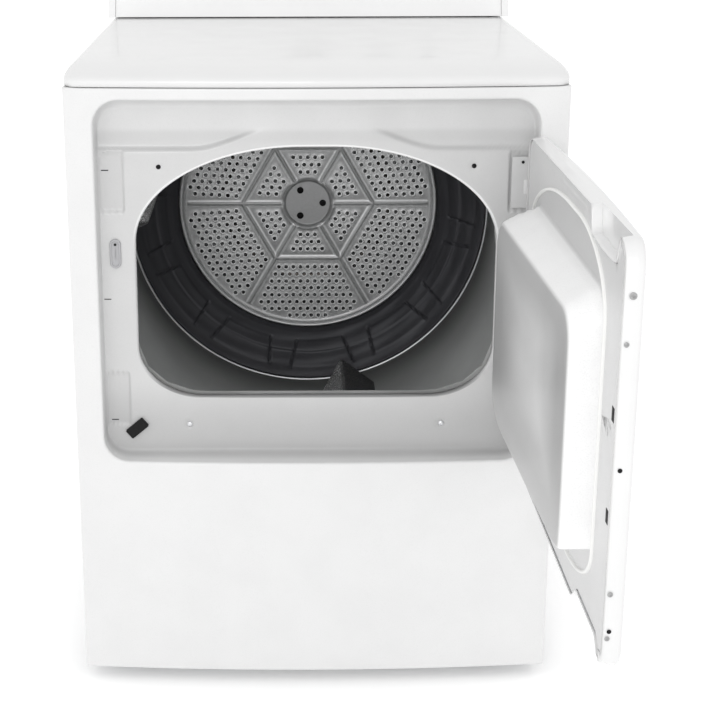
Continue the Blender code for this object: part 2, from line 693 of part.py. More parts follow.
def drum():
    spin = (0, FRONT, DRUM_Z)
    axis_point = (0, 0, DRUM_Z)
    wall = [(0.3045, DRUM_FRONT), (DRUM_RADIUS, DRUM_FRONT), (DRUM_RADIUS, DRUM_REAR + 0.0085)]
    finish(turned_mesh(thickened(wall, -SHEET), 64, spin), "drum_shell", "drum_coat", axis_point)
    inside = DRUM_RADIUS - 0.0006
    seat = DISC_RADIUS + 0.0022
    cone = [
        (inside, DRUM_REAR + 0.0080), (inside, DRUM_REAR - 0.004), (DRUM_RADIUS - 0.004, DRUM_REAR - 0.004),
        (DRUM_RADIUS - 0.010, DRUM_REAR + 0.002), (seat, DISC_Y - 0.003), (seat, DISC_Y + 0.004),
    ]
    finish(turned_mesh(thickened(cone, -SHEET), 64, spin), "drum_rear_wall", "dark_drum_coat", axis_point)
    disc = [
        (DISC_RADIUS, DISC_Y + 0.004), (DISC_RADIUS, DISC_Y - 0.003), (DISC_RADIUS - 0.004, DISC_Y - 0.003),
        (DISC_RADIUS - 0.006, DISC_Y), (HUB_RADIUS + 0.003, DISC_Y), (HUB_RADIUS - 0.003, DISC_Y + 0.005),
        (SHAFT_RADIUS - 0.004, DISC_Y + 0.005),
    ]
    finish(turned_mesh(thickened(disc, SHEET), 48, spin), "perforated_disc", "galvanised_steel", axis_point)
    back = DISC_Y + 0.0068
    flange = 0.038
    tail = 0.7080
    shaft = [
        (0, back), (flange, back), (flange, back + 0.003), (SHAFT_RADIUS, back + 0.006), (SHAFT_RADIUS, tail), (0, tail),
    ]
    finish(turned_mesh(shaft, 24, spin, closed=False), "drum_shaft", "bright_steel", axis_point)
    near, far = DISC_Y + 0.0002, DISC_Y + 0.0034
    head = [(0, near), (SCREW_RADIUS, near), (SCREW_RADIUS, far), (0, far)]
    for k in range(3):
        turn = 2 * math.pi * k / 3
        spot = (SCREW_CIRCLE * math.cos(turn), FRONT, DRUM_Z + SCREW_CIRCLE * math.sin(turn))
        finish(turned_mesh(head, 12, spot, closed=False), f"hub_screw_{k + 1}", "dark_plastic", axis_point)
    for k, angle in enumerate(BAFFLE_ANGLES):
        baffle(k + 1, math.radians(angle), axis_point)
    bore, sleeve, plate = SHAFT_RADIUS + 0.0005, 0.0135, 0.034
    bearing = [(bore, 0.6650), (sleeve, 0.6650), (sleeve, 0.6900), (plate, 0.6900), (plate, 0.6980), (bore, 0.6980)]
    finish(turned_mesh(bearing, 24, spin), "rear_bearing", "bronze")


def baffle(number, angle, axis_point):
    """A lifter: a rounded ridge along the drum wall, low at the front and with a tapered rear nose."""
    front, rear = BAFFLE_REACH
    steps = 8
    section = ((-1, 0), (-0.62, 0.45), (-0.26, 0.90), (0, 1), (0.26, 0.90), (0.62, 0.45), (1, 0), (0, 0))
    loops = []
    for i in range(steps + 1):
        share = i / steps
        y = front + (rear - front) * share
        swell = min(1.0, 0.35 + 4.2 * share) * min(1.0, 0.10 + 3.4 * (1 - share)) ** 0.6
        wide = 0.020 + 0.028 * swell
        loop = []
        for offset, rise in section:
            side = offset * wide
            radius = math.sqrt((DRUM_RADIUS - 0.0022) ** 2 - side ** 2) - rise * BAFFLE_HEIGHT * swell
            x = radius * math.sin(angle) + side * math.cos(angle)
            z = DRUM_Z - radius * math.cos(angle) + side * math.sin(angle)
            loop.append((x, FRONT + y, z))
        loops.append(loop)
    finish(loft_mesh(loops, caps=(True, True)), f"baffle_{number}", "dark_drum_coat", axis_point)


def heater():
    pan = [(0.036, 0.6968), (0.200, 0.6968), (0.218, 0.6480), (0.226, 0.6480)]
    spin = (0, FRONT, DRUM_Z)
    finish(turned_mesh(thickened(pan, 0.001), 40, spin), "heater_housing", "galvanised_steel")
    middle, depth = HEATER_MIDDLE
    around = [2 * math.pi * k / 8 for k in range(8)]
    ring = [(middle + HEATER_ROD * math.cos(a), depth + HEATER_ROD * math.sin(a)) for a in around]
    finish(turned_mesh(ring, 36, spin), "heater_element", "heater_alloy")


def air_path():
    left, right = DUCT_X - 0.058, MOTOR_X + 0.098
    low, high = BLOWER_HEIGHTS
    near, far = FRONT + BLOWER_FRONT, FRONT + BLOWER_REAR
    wall = BLOWER_WALL
    housing = finish(box_mesh((left, near, low), (right, far, high)), "blower_housing", "galvanised_steel")
    hollow = box_mesh((left + wall, near + wall, low + wall), (right - wall, far - wall, high - wall))
    boolean(housing, hollow, "hollow")
    boolean(housing, plug(INLET_RADIUS, (INLET_X, near, INLET_Z)), "inlet")
    boolean(housing, plug(0.011, (MOTOR_X, far, MOTOR_Z), segments=20), "shaft_hole")
    boolean(housing, plug(DUCT_RADIUS - 0.002, (DUCT_X, far, DUCT_Z), segments=32), "outlet")
    pipe = [
        (DUCT_RADIUS - SHEET, BLOWER_REAR + GAP), (DUCT_RADIUS, BLOWER_REAR + GAP),
        (DUCT_RADIUS, DEPTH + 0.022), (DUCT_RADIUS - SHEET, DEPTH + 0.022),
    ]
    finish(turned_mesh(pipe, 40, (DUCT_X, FRONT, DUCT_Z)), "exhaust_duct", "galvanised_steel")
    blower_wheel()


def blower_wheel():
    """A back plate with eight straight blades and a hub."""
    rear = BLOWER_REAR - 0.012
    centre = (MOTOR_X, 0, MOTOR_Z)
    plate = [(0, rear - 0.003), (WHEEL_RADIUS, rear - 0.003), (WHEEL_RADIUS, rear), (0, rear)]
    mesh = turned_mesh(plate, 24, (MOTOR_X, FRONT, MOTOR_Z), closed=False)
    wheel = finish(mesh, "blower_wheel", "grey_plastic", centre)
    for k in range(8):
        blade = box_mesh((0.030, FRONT + 0.078, -0.001), (WHEEL_RADIUS - 0.002, FRONT + rear - 0.002, 0.001))
        blade.transform(Matrix.Rotation(2 * math.pi * k / 8, 4, "Y"))
        boolean(wheel, blade, f"blade_{k}", "UNION").object.location = centre
    hub = [(0, rear - 0.020), (0.012, rear - 0.020), (0.012, rear - 0.001), (0, rear - 0.001)]
    step = boolean(wheel, turned_mesh(hub, 16, (0, FRONT, 0), closed=False), "hub", "UNION")
    step.object.location = centre


def circle_tangent(first, second):
    """Where the outer tangent on the left of the way from one circle to the next touches each."""
    (ax, az, ar), (bx, bz, br) = first, second
    way = math.atan2(bz - az, bx - ax)
    tilt = math.acos((ar - br) / math.hypot(bx - ax, bz - az))
    return way + tilt, way + tilt


def belt_outline(circles, extra):
    """A closed belt line round circles listed clockwise, at a distance outside them."""
    grown = [(x, z, r + extra) for x, z, r in circles]
    touches = []
    for here, there in zip(grown, grown[1:] + grown[:1]):
        touches.append(circle_tangent(here, there))
    points = []
    for i, (x, z, r) in enumerate(grown):
        start = touches[i - 1][1]
        end = touches[i][0]
        while end > start:
            end -= 2 * math.pi
        steps = 40 if r > 0.1 else 8
        for k in range(steps + 1):
            a = start + (end - start) * k / steps
            points.append((x + r * math.cos(a), z + r * math.sin(a)))
    return points


def motor():
    end = 0.030
    body = [
        (0.0105, 0.150), (end, 0.150), (MOTOR_RADIUS, 0.162), (MOTOR_RADIUS, 0.292), (end, 0.304), (0.0105, 0.304),
    ]
    finish(turned_mesh(body, 32, (MOTOR_X, FRONT, MOTOR_Z)), "motor_body", "motor_enamel")
    flange = PULLEY_RADIUS + PULLEY_FLANGE
    shaft = [
        (0, 0.136), (0.008, 0.136), (0.008, BELT_Y - 0.012), (flange, BELT_Y - 0.012), (flange, BELT_Y - 0.006),
        (PULLEY_RADIUS, BELT_Y - 0.0055), (PULLEY_RADIUS, BELT_Y + 0.0055), (flange, BELT_Y + 0.006),
        (flange, BELT_Y + 0.010), (0, BELT_Y + 0.010),
    ]
    mesh = turned_mesh(shaft, 20, (MOTOR_X, FRONT, MOTOR_Z), closed=False)
    finish(mesh, "motor_shaft", "bright_steel", (MOTOR_X, 0, MOTOR_Z))
    rim = MOTOR_RADIUS + 0.0016
    arc = [(rim * math.sin(a), MOTOR_Z - rim * math.cos(a)) for a in (1.15, 0.9, 0.6, 0.3, 0, -0.3, -0.6, -0.9, -1.15)]
    sides = [(-CRADLE_HALF, POST_FOOT_Z + PAN_RISE), (CRADLE_HALF, POST_FOOT_Z + PAN_RISE), (CRADLE_HALF, 0.070)]
    outline = [(MOTOR_X + x, z) for x, z in sides + arc + [(-CRADLE_HALF, 0.070)]]
    mount = finish(prism_mesh(outline, FRONT + 0.170, FRONT + 0.284, "XZ"), "motor_mount", "galvanised_steel")
    half = CRADLE_HALF - 0.006
    boolean(mount, box_mesh((MOTOR_X - half, FRONT + 0.16, 0.010), (MOTOR_X + half, FRONT + 0.30, 0.050)), "hollow")


def tensioner():
    pivot_x, pivot_z = IDLER_PIVOT
    low, high = POST_FOOT_Z + PAN_RISE, pivot_z + 0.010
    post = [(pivot_x - 0.014, low), (pivot_x + 0.014, low), (pivot_x + 0.012, high), (pivot_x - 0.012, high)]
    near = FRONT + BELT_Y
    finish(prism_mesh(post, near + 0.016, near + 0.022, "XZ"), "idler_bracket", "galvanised_steel")
    way = Vector((IDLER_X - pivot_x, IDLER_Z - pivot_z)).normalized()
    across = Vector((-way.y, way.x)) * 0.008
    ends = (Vector((pivot_x, pivot_z)) - way * 0.010, Vector((IDLER_X, IDLER_Z)) + way * 0.010)
    outline = [tuple(ends[0] - across), tuple(ends[1] - across), tuple(ends[1] + across), tuple(ends[0] + across)]
    arm = prism_mesh(outline, near + 0.0120, near + 0.0150, "XZ")
    finish(arm, "idler_arm", "bright_steel", (pivot_x, near + 0.0135, pivot_z))
    lip = IDLER_RADIUS + 0.002
    idler = [
        (0, BELT_Y - 0.008), (lip, BELT_Y - 0.008), (IDLER_RADIUS, BELT_Y - 0.0055),
        (IDLER_RADIUS, BELT_Y + 0.0055), (lip, BELT_Y + 0.008), (0, BELT_Y + 0.0115),
    ]
    mesh = turned_mesh(idler, 24, (IDLER_X, FRONT, IDLER_Z), closed=False)
    finish(mesh, "idler_pulley", "white_plastic", (IDLER_X, 0, IDLER_Z))


def belt():
    circles = [
        (0, DRUM_Z, DRUM_RADIUS + SHEET + 0.0009),
        (MOTOR_X, MOTOR_Z, PULLEY_RADIUS + 0.0006),
        (IDLER_X, IDLER_Z, IDLER_RADIUS + 0.0006),
    ]
    inner = belt_outline(circles, 0.0)
    outer = belt_outline(circles, BELT_THICK)
    near, far = FRONT + BELT_Y - BELT_WIDTH / 2, FRONT + BELT_Y + BELT_WIDTH / 2
    loops = [[(x, y, z) for x, z in line] for line, y in ((inner, near), (outer, near), (outer, far), (inner, far))]
    finish(loft_mesh(loops, wrap=True), "drive_belt", "belt_rubber")


def main():
    clear_scene()
    cabinet()
    front_panel()
    top_panel()
    console()
    front_bulkhead()
    lint_parts()
    hinges(door_closed())
    catch_and_switch()
    drum()
    heater()
    air_path()
    motor()
    tensioner()
    belt()


main()
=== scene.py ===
"""Looks for a front-loading clothes dryer, door standing open.

Frame: metres, +Z up, +Y into the machine, +X to the right of someone facing the door.
Depths named "depth" are measured back from the front edge of the cabinet's sides.
"""

import math

import bmesh
import bpy
import numpy as np
from mathutils import Matrix, Vector, geometry


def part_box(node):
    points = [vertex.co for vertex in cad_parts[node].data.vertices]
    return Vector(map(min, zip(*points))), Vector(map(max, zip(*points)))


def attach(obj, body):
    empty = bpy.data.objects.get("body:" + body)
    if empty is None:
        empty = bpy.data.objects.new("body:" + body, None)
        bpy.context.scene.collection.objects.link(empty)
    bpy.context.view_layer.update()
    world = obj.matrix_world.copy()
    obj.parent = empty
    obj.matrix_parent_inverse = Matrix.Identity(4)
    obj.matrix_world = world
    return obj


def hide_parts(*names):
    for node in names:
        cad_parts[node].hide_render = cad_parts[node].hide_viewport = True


bl_info = {
    "name": "Clothes dryer looks",
    "version": (1, 0, 0),
    "blender": (4, 5, 0),
    "location": "View3D > Sidebar > Dryer",
    "description": "Builds the visible surfaces of a front-loading clothes dryer round its packed solids",
    "category": "Object",
}

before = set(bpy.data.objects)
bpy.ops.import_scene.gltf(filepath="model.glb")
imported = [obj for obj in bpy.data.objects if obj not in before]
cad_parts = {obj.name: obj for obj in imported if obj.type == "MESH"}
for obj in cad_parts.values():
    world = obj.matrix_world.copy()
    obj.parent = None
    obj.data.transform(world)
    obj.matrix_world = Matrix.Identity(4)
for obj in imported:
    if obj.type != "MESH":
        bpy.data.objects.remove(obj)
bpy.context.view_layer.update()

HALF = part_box("front_panel")[1].x
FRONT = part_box("exhaust_duct")[1].y - 0.722
PANEL_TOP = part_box("front_panel")[1].z
LID_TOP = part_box("top_panel")[1].z
BOW = 0.0148

# Front recess and opening: half widths, heights and depths
BED = (-0.300, 0.300, 0.3432, 0.840, 0.030)
RIM = (-0.3037, 0.3037, 0.334, 0.857, 0.036)
LIP_GROW = 0.004
BED_DEPTH = 0.022
OPENING = (0.2525, 0.424, 0.787)
EYE = (0.0, 0.600)
HINGE_POCKETS = ((0.268, 0.2985, 0.6975, 0.7785), (0.268, 0.2985, 0.3815, 0.4585))

# Door, modelled shut and then swung
DOOR_LEFT, DOOR_RIGHT, DOOR_LOW, DOOR_HIGH = -0.2857, 0.2925, 0.335, 0.8110
DOOR_MIDDLE = (DOOR_LEFT + DOOR_RIGHT) / 2
DOOR_HALF = (DOOR_RIGHT - DOOR_LEFT) / 2
DOOR_CENTRE = (DOOR_MIDDLE, EYE[1])
DOOR_ANGLE = math.radians(90.4)
HINGE_AXIS = (0.2995, FRONT - 0.0035)
DOOR_FACE = -0.0105
DOOR_BACK = 0.0090
LAND = 0.0078
TUB_DEPTH = 0.0400

# Drum
DRUM_Z = 0.5659
DRUM_RADIUS = 0.3180
RING_DEPTH = 0.5715
DISC_DEPTH = 0.6255
DISC_RADIUS = 0.2306
HUB_RADIUS = 0.0429
HOLE_PITCH = 0.0131
INNER_ROWS = ((0.0577, 3), (0.0711, 4), (0.0846, 5))
OUTER_ROWS = ((0.1185, 9), (0.1321, 10), (0.1457, 11), (0.1585, 12), (0.1717, 13), (0.185, 14), (0.1979, 13),
              (0.2108, 6))
HEX_RADIUS = 0.1020
RIB_END = 0.2140
BAFFLE_ANGLES = (12.6, 132.6, 252.6)
BAFFLE_REACH = (0.105, 0.552)

# Console
FASCIA_FOOT = (0.583, 0.9045)
FASCIA_HEAD = (0.640, 1.076)
CONTROL_RISE = 0.088
KNOBS = {"cycle_knob": (0.0, 0.032, 0.022), "temperature_knob": (0.1225, 0.025, 0.018)}
BUTTON = (0.209, 0.011, 0.008)

# Camera: place, downward, sideways and rolled angles, lens in mm and shifts in picture widths
CAMERA_AT = (-0.05115, FRONT - 2.01048, 1.18586)
CAMERA_PITCH, CAMERA_YAW, CAMERA_ROLL = 0.27857, 0.00283, 0.00299
CAMERA_LENS = 76.22905
CAMERA_SHIFT = (0.0997917, -0.1121157)


# ---------------------------------------------------------------- numbers and curves


def size_of(name):
    """A size from the panel, to the nearest micrometre."""
    return round(getattr(bpy.context.scene.dryer_sizes, name), 6)


def smooth(low, high, value):
    """0 below low, 1 above high, and 3t^2 - 2t^3 between them."""
    t = np.clip((value - low) / (high - low), 0.0, 1.0)
    return t * t * (3 - 2 * t)


def bow(x):
    """The front's bulge: a parabola that is BOW proud at the middle and nothing at the sides."""
    return -BOW * (1 - (x / HALF) ** 2)


def corner(cx, cz, rx, rz, start, steps):
    """A quarter of an ellipse about (cx, cz), anticlockwise from a start angle in degrees."""
    turn = np.radians(start + np.linspace(0, 90, steps))
    return np.stack([cx + rx * np.cos(turn), cz + rz * np.sin(turn)], 1)


def rounded(x0, x1, z0, z1, radius, steps=40):
    """A rectangle with circular corners, anticlockwise from the middle of its right side."""
    return np.concatenate([
        corner(x1 - radius, z1 - radius, radius, radius, 0, steps),
        corner(x0 + radius, z1 - radius, radius, radius, 90, steps),
        corner(x0 + radius, z0 + radius, radius, radius, 180, steps),
        corner(x1 - radius, z0 + radius, radius, radius, 270, steps),
    ])


def arch(half, low, high, top_run, top_drop, foot_run, foot_rise, steps=60):
    """A door-opening shape: flat top and foot, elliptical shoulders, smaller elliptical lower corners."""
    shoulder, heel = half - top_run, half - foot_run
    return np.concatenate([
        corner(top_run, high - top_drop, shoulder, top_drop, 0, steps),
        corner(-top_run, high - top_drop, shoulder, top_drop, 90, steps),
        corner(-foot_run, low + foot_rise, heel, foot_rise, 180, steps),
        corner(foot_run, low + foot_rise, heel, foot_rise, 270, steps),
    ])


def opening(grow=0.0):
    """The front opening's outline, made larger all round by `grow`."""
    half, low, high = OPENING
    return arch(half + grow, low - grow, high + grow, 0.020, 0.135 + grow, 0.160, 0.075 + grow)


def tub(share, inset=0.0):
    """The tub's outline between its root on the land (share 0) and its face (share 1)."""
    x0, x1 = -0.2045 + 0.004 * share + inset, 0.2350 - 0.002 * share - inset
    low, high = 0.4165 + 0.003 * share + inset, 0.7335 - 0.0235 * share - inset
    return np.concatenate([
        corner(x1 - 0.034, high - 0.034, 0.034, 0.034, 0, 40),
        corner(x0 + 0.036, high - 0.036, 0.036, 0.036, 90, 40),
        corner(x0 + 0.030, low + 0.030, 0.030, 0.030, 180, 40),
        corner(x1 - 0.060, low + 0.060, 0.060, 0.060, 270, 40),
    ])


def seal_line():
    """The middle line of the door seal: four unequal quarter ellipses round the tub."""
    return np.concatenate([
        corner(0.005, 0.700, 0.2410, 0.0830, 0, 60),
        corner(-0.050, 0.700, 0.1560, 0.0830, 90, 60),
        corner(-0.070, 0.440, 0.1360, 0.0650, 180, 60),
        corner(0.110, 0.440, 0.1360, 0.0650, 270, 60),
    ])


def tub_depth(x):
    """How far the tub's face stands off the land: more toward the hinges."""
    return TUB_DEPTH - 0.002 + 0.012 * np.clip((x + 0.20) / 0.44, 0, 1)


def reach(outline, angles, centre):
    """How far a closed outline lies from a centre in each direction.

    The outline's sides are cut into short steps, and the distance is interpolated over their directions.
    """
    following = np.roll(outline, -1, 0)
    share = np.linspace(0, 1, 240, endpoint=False)[None, :, None]
    fine = (outline[:, None] * (1 - share) + following[:, None] * share).reshape(-1, 2)
    away = fine - np.array(centre)
    turn = np.arctan2(away[:, 1], away[:, 0])
    order = np.argsort(turn)
    return np.interp(angles, turn[order], np.hypot(*away.T)[order], period=2 * math.pi)


def star_rows(rows, angles, centre):
    """Points on closed loops round a centre in the XZ plane.

    A row is (distances, depth at each x and z). A third number says how much of the grips' cut it has.
    """
    loops = []
    for distance, depth, *cut in rows:
        x = centre[0] + distance * np.cos(angles)
        z = centre[1] + distance * np.sin(angles)
        if cut:
            z = z - cut[0] * grip_drop(x, z)
        loops.append(np.stack([x, FRONT + depth(x, z), z], 1))
    return np.array(loops)


def between(first, second, shares, depth):
    """Rows that run from one outline's distances to another's in the given shares."""
    return [(first + (second - first) * share, depth) for share in shares]


def spread(count, extra, centre):
    """Evenly spaced directions, with the exact directions of some corner points among them."""
    even = np.linspace(-math.pi, math.pi, count, endpoint=False)
    corners = np.arctan2(extra[:, 1] - centre[1], extra[:, 0] - centre[0])
    near = np.abs((even[:, None] - corners + math.pi) % (2 * math.pi) - math.pi).min(1)
    return np.sort(np.concatenate([even[near > 0.4 * 2 * math.pi / count], corners]))


# ---------------------------------------------------------------- surfaces and pieces


def grid(points, around=False, along=False):
    """(points, quads) of a grid of rows and columns; around closes the columns and along closes the rows."""
    rows, columns = points.shape[:2]
    index = np.arange(rows * columns).reshape(rows, columns)
    if around:
        index = np.concatenate([index, index[:, :1]], 1)
    if along:
        index = np.concatenate([index, index[:1]], 0)
    quads = np.stack([index[:-1, :-1], index[:-1, 1:], index[1:, 1:], index[1:, :-1]], -1)
    return points.reshape(-1, 3), quads.reshape(-1, 4)


def turned(profile, segments, base, axis=(0, 1, 0), ripple=None):
    """A profile of (radius, distance along) turned round an axis, each point round its own circle.

    ripple(angle, row) scales the radius, for flutes and bumps.
    """
    profile = np.array(profile, float)
    turn = np.linspace(0, 2 * math.pi, segments, endpoint=False)
    radius = np.repeat(profile[:, :1], segments, 1)
    if ripple is not None:
        radius = radius * ripple(turn[None, :], np.arange(len(profile))[:, None])
    local = np.stack([radius * np.cos(turn), radius * np.sin(turn), np.repeat(profile[:, 1:], segments, 1)], -1)
    frame_axes = np.array(Vector((0, 0, 1)).rotation_difference(Vector(axis)).to_matrix())
    return grid(local @ frame_axes.T + np.array(base), around=True)


BOX_QUADS = np.array([(0, 2, 3, 1), (4, 5, 7, 6), (0, 1, 5, 4), (2, 6, 7, 3), (0, 4, 6, 2), (1, 3, 7, 5)])


def box_surface(low, high):
    """A box as six quads."""
    x, y, z = zip(low, high)
    corners = np.array([(x[i], y[j], z[k]) for k in (0, 1) for j in (0, 1) for i in (0, 1)], float)
    return corners, BOX_QUADS


def joined(surfaces):
    """Several surfaces as one, their faces renumbered."""
    start, points, faces = 0, [], []
    for one_points, one_faces in surfaces:
        points.append(one_points)
        faces.append(one_faces + start)
        start += len(one_points)
    return np.concatenate(points), np.concatenate(faces)


def swung(surface):
    """A surface modelled on the shut door, turned about the hinge axis to where the door stands."""
    points, faces = surface
    cos, sin = math.cos(DOOR_ANGLE), math.sin(DOOR_ANGLE)
    axis = np.array([*HINGE_AXIS, 0])
    x, y, z = (points - axis).T
    return np.stack([x * cos - y * sin, x * sin + y * cos, z], 1) + axis, faces


def piece(name, surface, body, material, nodes=(), sheet=0.0, toward=None, weld=True, sharp=40, tone=None):
    """Make one visible piece: its mesh, finish, body and the solids it stands for.

    A closed surface gets its normals worked out. An open one is turned to face `toward`,
    and `sheet` then gives it a thickness behind that face. `tone` scales the finish's colour point by point,
    mostly as painted light and shade.
    """
    points, faces = surface
    mesh = bpy.data.meshes.new(name)
    mesh.vertices.add(len(points))
    mesh.vertices.foreach_set("co", np.ascontiguousarray(points, np.float32).ravel())
    sides = faces.shape[1]
    mesh.loops.add(faces.size)
    mesh.loops.foreach_set("vertex_index", np.ascontiguousarray(faces, np.int32).ravel())
    mesh.polygons.add(len(faces))
    mesh.polygons.foreach_set("loop_start", np.arange(0, faces.size, sides, dtype=np.int32))
    mesh.update(calc_edges=True)
    if tone is not None:
        held = mesh.attributes.new("tone", "FLOAT", "POINT")
        held.data.foreach_set("value", np.ascontiguousarray(tone, np.float32).ravel())
    mesh.validate()
    made = bmesh.new()
    made.from_mesh(mesh)
    if weld:
        bmesh.ops.remove_doubles(made, verts=made.verts, dist=1e-6)
        bmesh.ops.dissolve_degenerate(made, edges=made.edges, dist=1e-7)
    if toward is None:
        bmesh.ops.recalc_face_normals(made, faces=made.faces)
    made.to_mesh(mesh)
    made.free()
    if toward is not None:
        normals = np.empty(len(mesh.polygons) * 3)
        areas = np.empty(len(mesh.polygons))
        mesh.polygons.foreach_get("normal", normals)
        mesh.polygons.foreach_get("area", areas)
        if ((normals.reshape(-1, 3) @ np.array(toward, float)) * areas).sum() < 0:
            mesh.flip_normals()
    mesh.shade_smooth()
    mesh.set_sharp_from_angle(angle=math.radians(sharp))
    thing = bpy.data.objects.new(name, mesh)
    bpy.context.scene.collection.objects.link(thing)
    mesh.materials.append(material)
    if sheet:
        thick = thing.modifiers.new("sheet", "SOLIDIFY")
        thick.thickness = sheet
        thick.offset = -1.0
    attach(thing, body)
    if nodes:
        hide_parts(*nodes)
    return thing


# ---------------------------------------------------------------- finishes


def add(tree, kind, at=(0, 0), **inputs):
    """A node with some of its inputs set or linked; underscores stand for spaces in input names."""
    node = tree.nodes.new(kind)
    node.location = at
    for key, value in inputs.items():
        socket = node.inputs[int(key[1:])] if key[1:].isdigit() else node.inputs[key.replace("_", " ")]
        if isinstance(value, bpy.types.NodeSocket):
            tree.links.new(value, socket)
        else:
            socket.default_value = value
    return node


def mix_colour(tree, factor, first, second, blend="MIX"):
    """A colour that goes from first to second as the factor goes from 0 to 1."""
    node = tree.nodes.new("ShaderNodeMix")
    node.data_type = "RGBA"
    node.blend_type = blend
    if isinstance(factor, float):
        node.inputs[0].default_value = factor
    else:
        tree.links.new(factor, node.inputs[0])
    tree.links.new(first, node.inputs[6])
    tree.links.new(second, node.inputs[7])
    return node.outputs[2]


def new_group(name, inputs, outputs):
    """A shader node group with named sockets: (name, type, default) in, and (name, type) out."""
    group = bpy.data.node_groups.new(name, "ShaderNodeTree")
    for label, kind, default in inputs:
        group.interface.new_socket(label, in_out="INPUT", socket_type=kind).default_value = default
    for label, kind in outputs:
        group.interface.new_socket(label, in_out="OUTPUT", socket_type=kind)
    return group, group.nodes.new("NodeGroupInput").outputs, group.nodes.new("NodeGroupOutput").inputs


def grain_group():
    """Fine surface relief from two sizes of noise on object coordinates, as a height between 0 and 1."""
    name = "grain"
    if name in bpy.data.node_groups:
        return bpy.data.node_groups[name]
    group, given, out = new_group(
        name, [("Size", "NodeSocketFloat", 900.0), ("Coarse share", "NodeSocketFloat", 0.35)],
        [("Height", "NodeSocketFloat")],
    )
    place = add(group, "ShaderNodeTexCoord").outputs["Object"]
    fine = add(group, "ShaderNodeTexNoise", Vector=place, Scale=given["Size"], Detail=2.0)
    third = add(group, "ShaderNodeMath", _0=given["Size"], _1=0.22)
    third.operation = "MULTIPLY"
    coarse = add(group, "ShaderNodeTexNoise", Vector=place, Scale=third.outputs[0], Detail=1.0)
    mixed = add(group, "ShaderNodeMix", Factor=given["Coarse share"], _2=fine.outputs["Fac"],
                _3=coarse.outputs["Fac"])
    group.links.new(mixed.outputs[0], out["Height"])
    return group


def mottle_group():
    """Slow patches of two colours, with finer specks on top, both from noise on object coordinates."""
    name = "mottle"
    if name in bpy.data.node_groups:
        return bpy.data.node_groups[name]
    group, given, out = new_group(
        name,
        [
            ("Light", "NodeSocketColor", (0.8, 0.8, 0.8, 1)), ("Dark", "NodeSocketColor", (0.6, 0.6, 0.6, 1)),
            ("Speck", "NodeSocketColor", (0.3, 0.3, 0.3, 1)), ("Patch size", "NodeSocketFloat", 20.0),
            ("Speck size", "NodeSocketFloat", 900.0), ("Speck share", "NodeSocketFloat", 0.1),
        ],
        [("Color", "NodeSocketColor"), ("Mask", "NodeSocketFloat")],
    )
    place = add(group, "ShaderNodeTexCoord").outputs["Object"]
    patch = add(group, "ShaderNodeTexNoise", Vector=place, Scale=given["Patch size"], Detail=5.0)
    spread_patch = add(group, "ShaderNodeMapRange", Value=patch.outputs["Fac"], From_Min=0.35, From_Max=0.65)
    base = mix_colour(group, spread_patch.outputs[0], given["Dark"], given["Light"])
    speck = add(group, "ShaderNodeTexNoise", Vector=place, Scale=given["Speck size"], Detail=1.0)
    sharp = add(group, "ShaderNodeMapRange", Value=speck.outputs["Fac"], From_Min=0.56, From_Max=0.64)
    share = add(group, "ShaderNodeMath", _0=sharp.outputs[0], _1=given["Speck share"])
    share.operation = "MULTIPLY"
    group.links.new(mix_colour(group, share.outputs[0], base, given["Speck"]), out["Color"])
    group.links.new(patch.outputs["Fac"], out["Mask"])
    return group


def spangle_group():
    """Zinc spangle: the crystal cells of a Voronoi pattern, each a little lighter or darker than the next."""
    name = "spangle"
    if name in bpy.data.node_groups:
        return bpy.data.node_groups[name]
    group, given, out = new_group(
        name,
        [
            ("Light", "NodeSocketColor", (0.7, 0.7, 0.7, 1)), ("Dark", "NodeSocketColor", (0.4, 0.4, 0.4, 1)),
            ("Cells", "NodeSocketFloat", 160.0),
        ],
        [("Color", "NodeSocketColor"), ("Mask", "NodeSocketFloat")],
    )
    place = add(group, "ShaderNodeTexCoord").outputs["Object"]
    warp = add(group, "ShaderNodeTexNoise", Vector=place, Scale=60.0, Detail=2.0)
    moved = add(group, "ShaderNodeVectorMath", _1=(0.012, 0.012, 0.012), _2=place)
    moved.operation = "MULTIPLY_ADD"
    group.links.new(warp.outputs["Color"], moved.inputs[0])
    cells = add(group, "ShaderNodeTexVoronoi", Vector=moved.outputs[0], Scale=given["Cells"])
    cloud = add(group, "ShaderNodeTexNoise", Vector=place, Scale=12.0, Detail=4.0)
    separate = add(group, "ShaderNodeSeparateColor", Color=cells.outputs["Color"])
    shade = add(group, "ShaderNodeMix", Factor=0.45, _2=separate.outputs[0], _3=cloud.outputs["Fac"])
    group.links.new(mix_colour(group, shade.outputs[0], given["Dark"], given["Light"]), out["Color"])
    group.links.new(shade.outputs[0], out["Mask"])
    return group


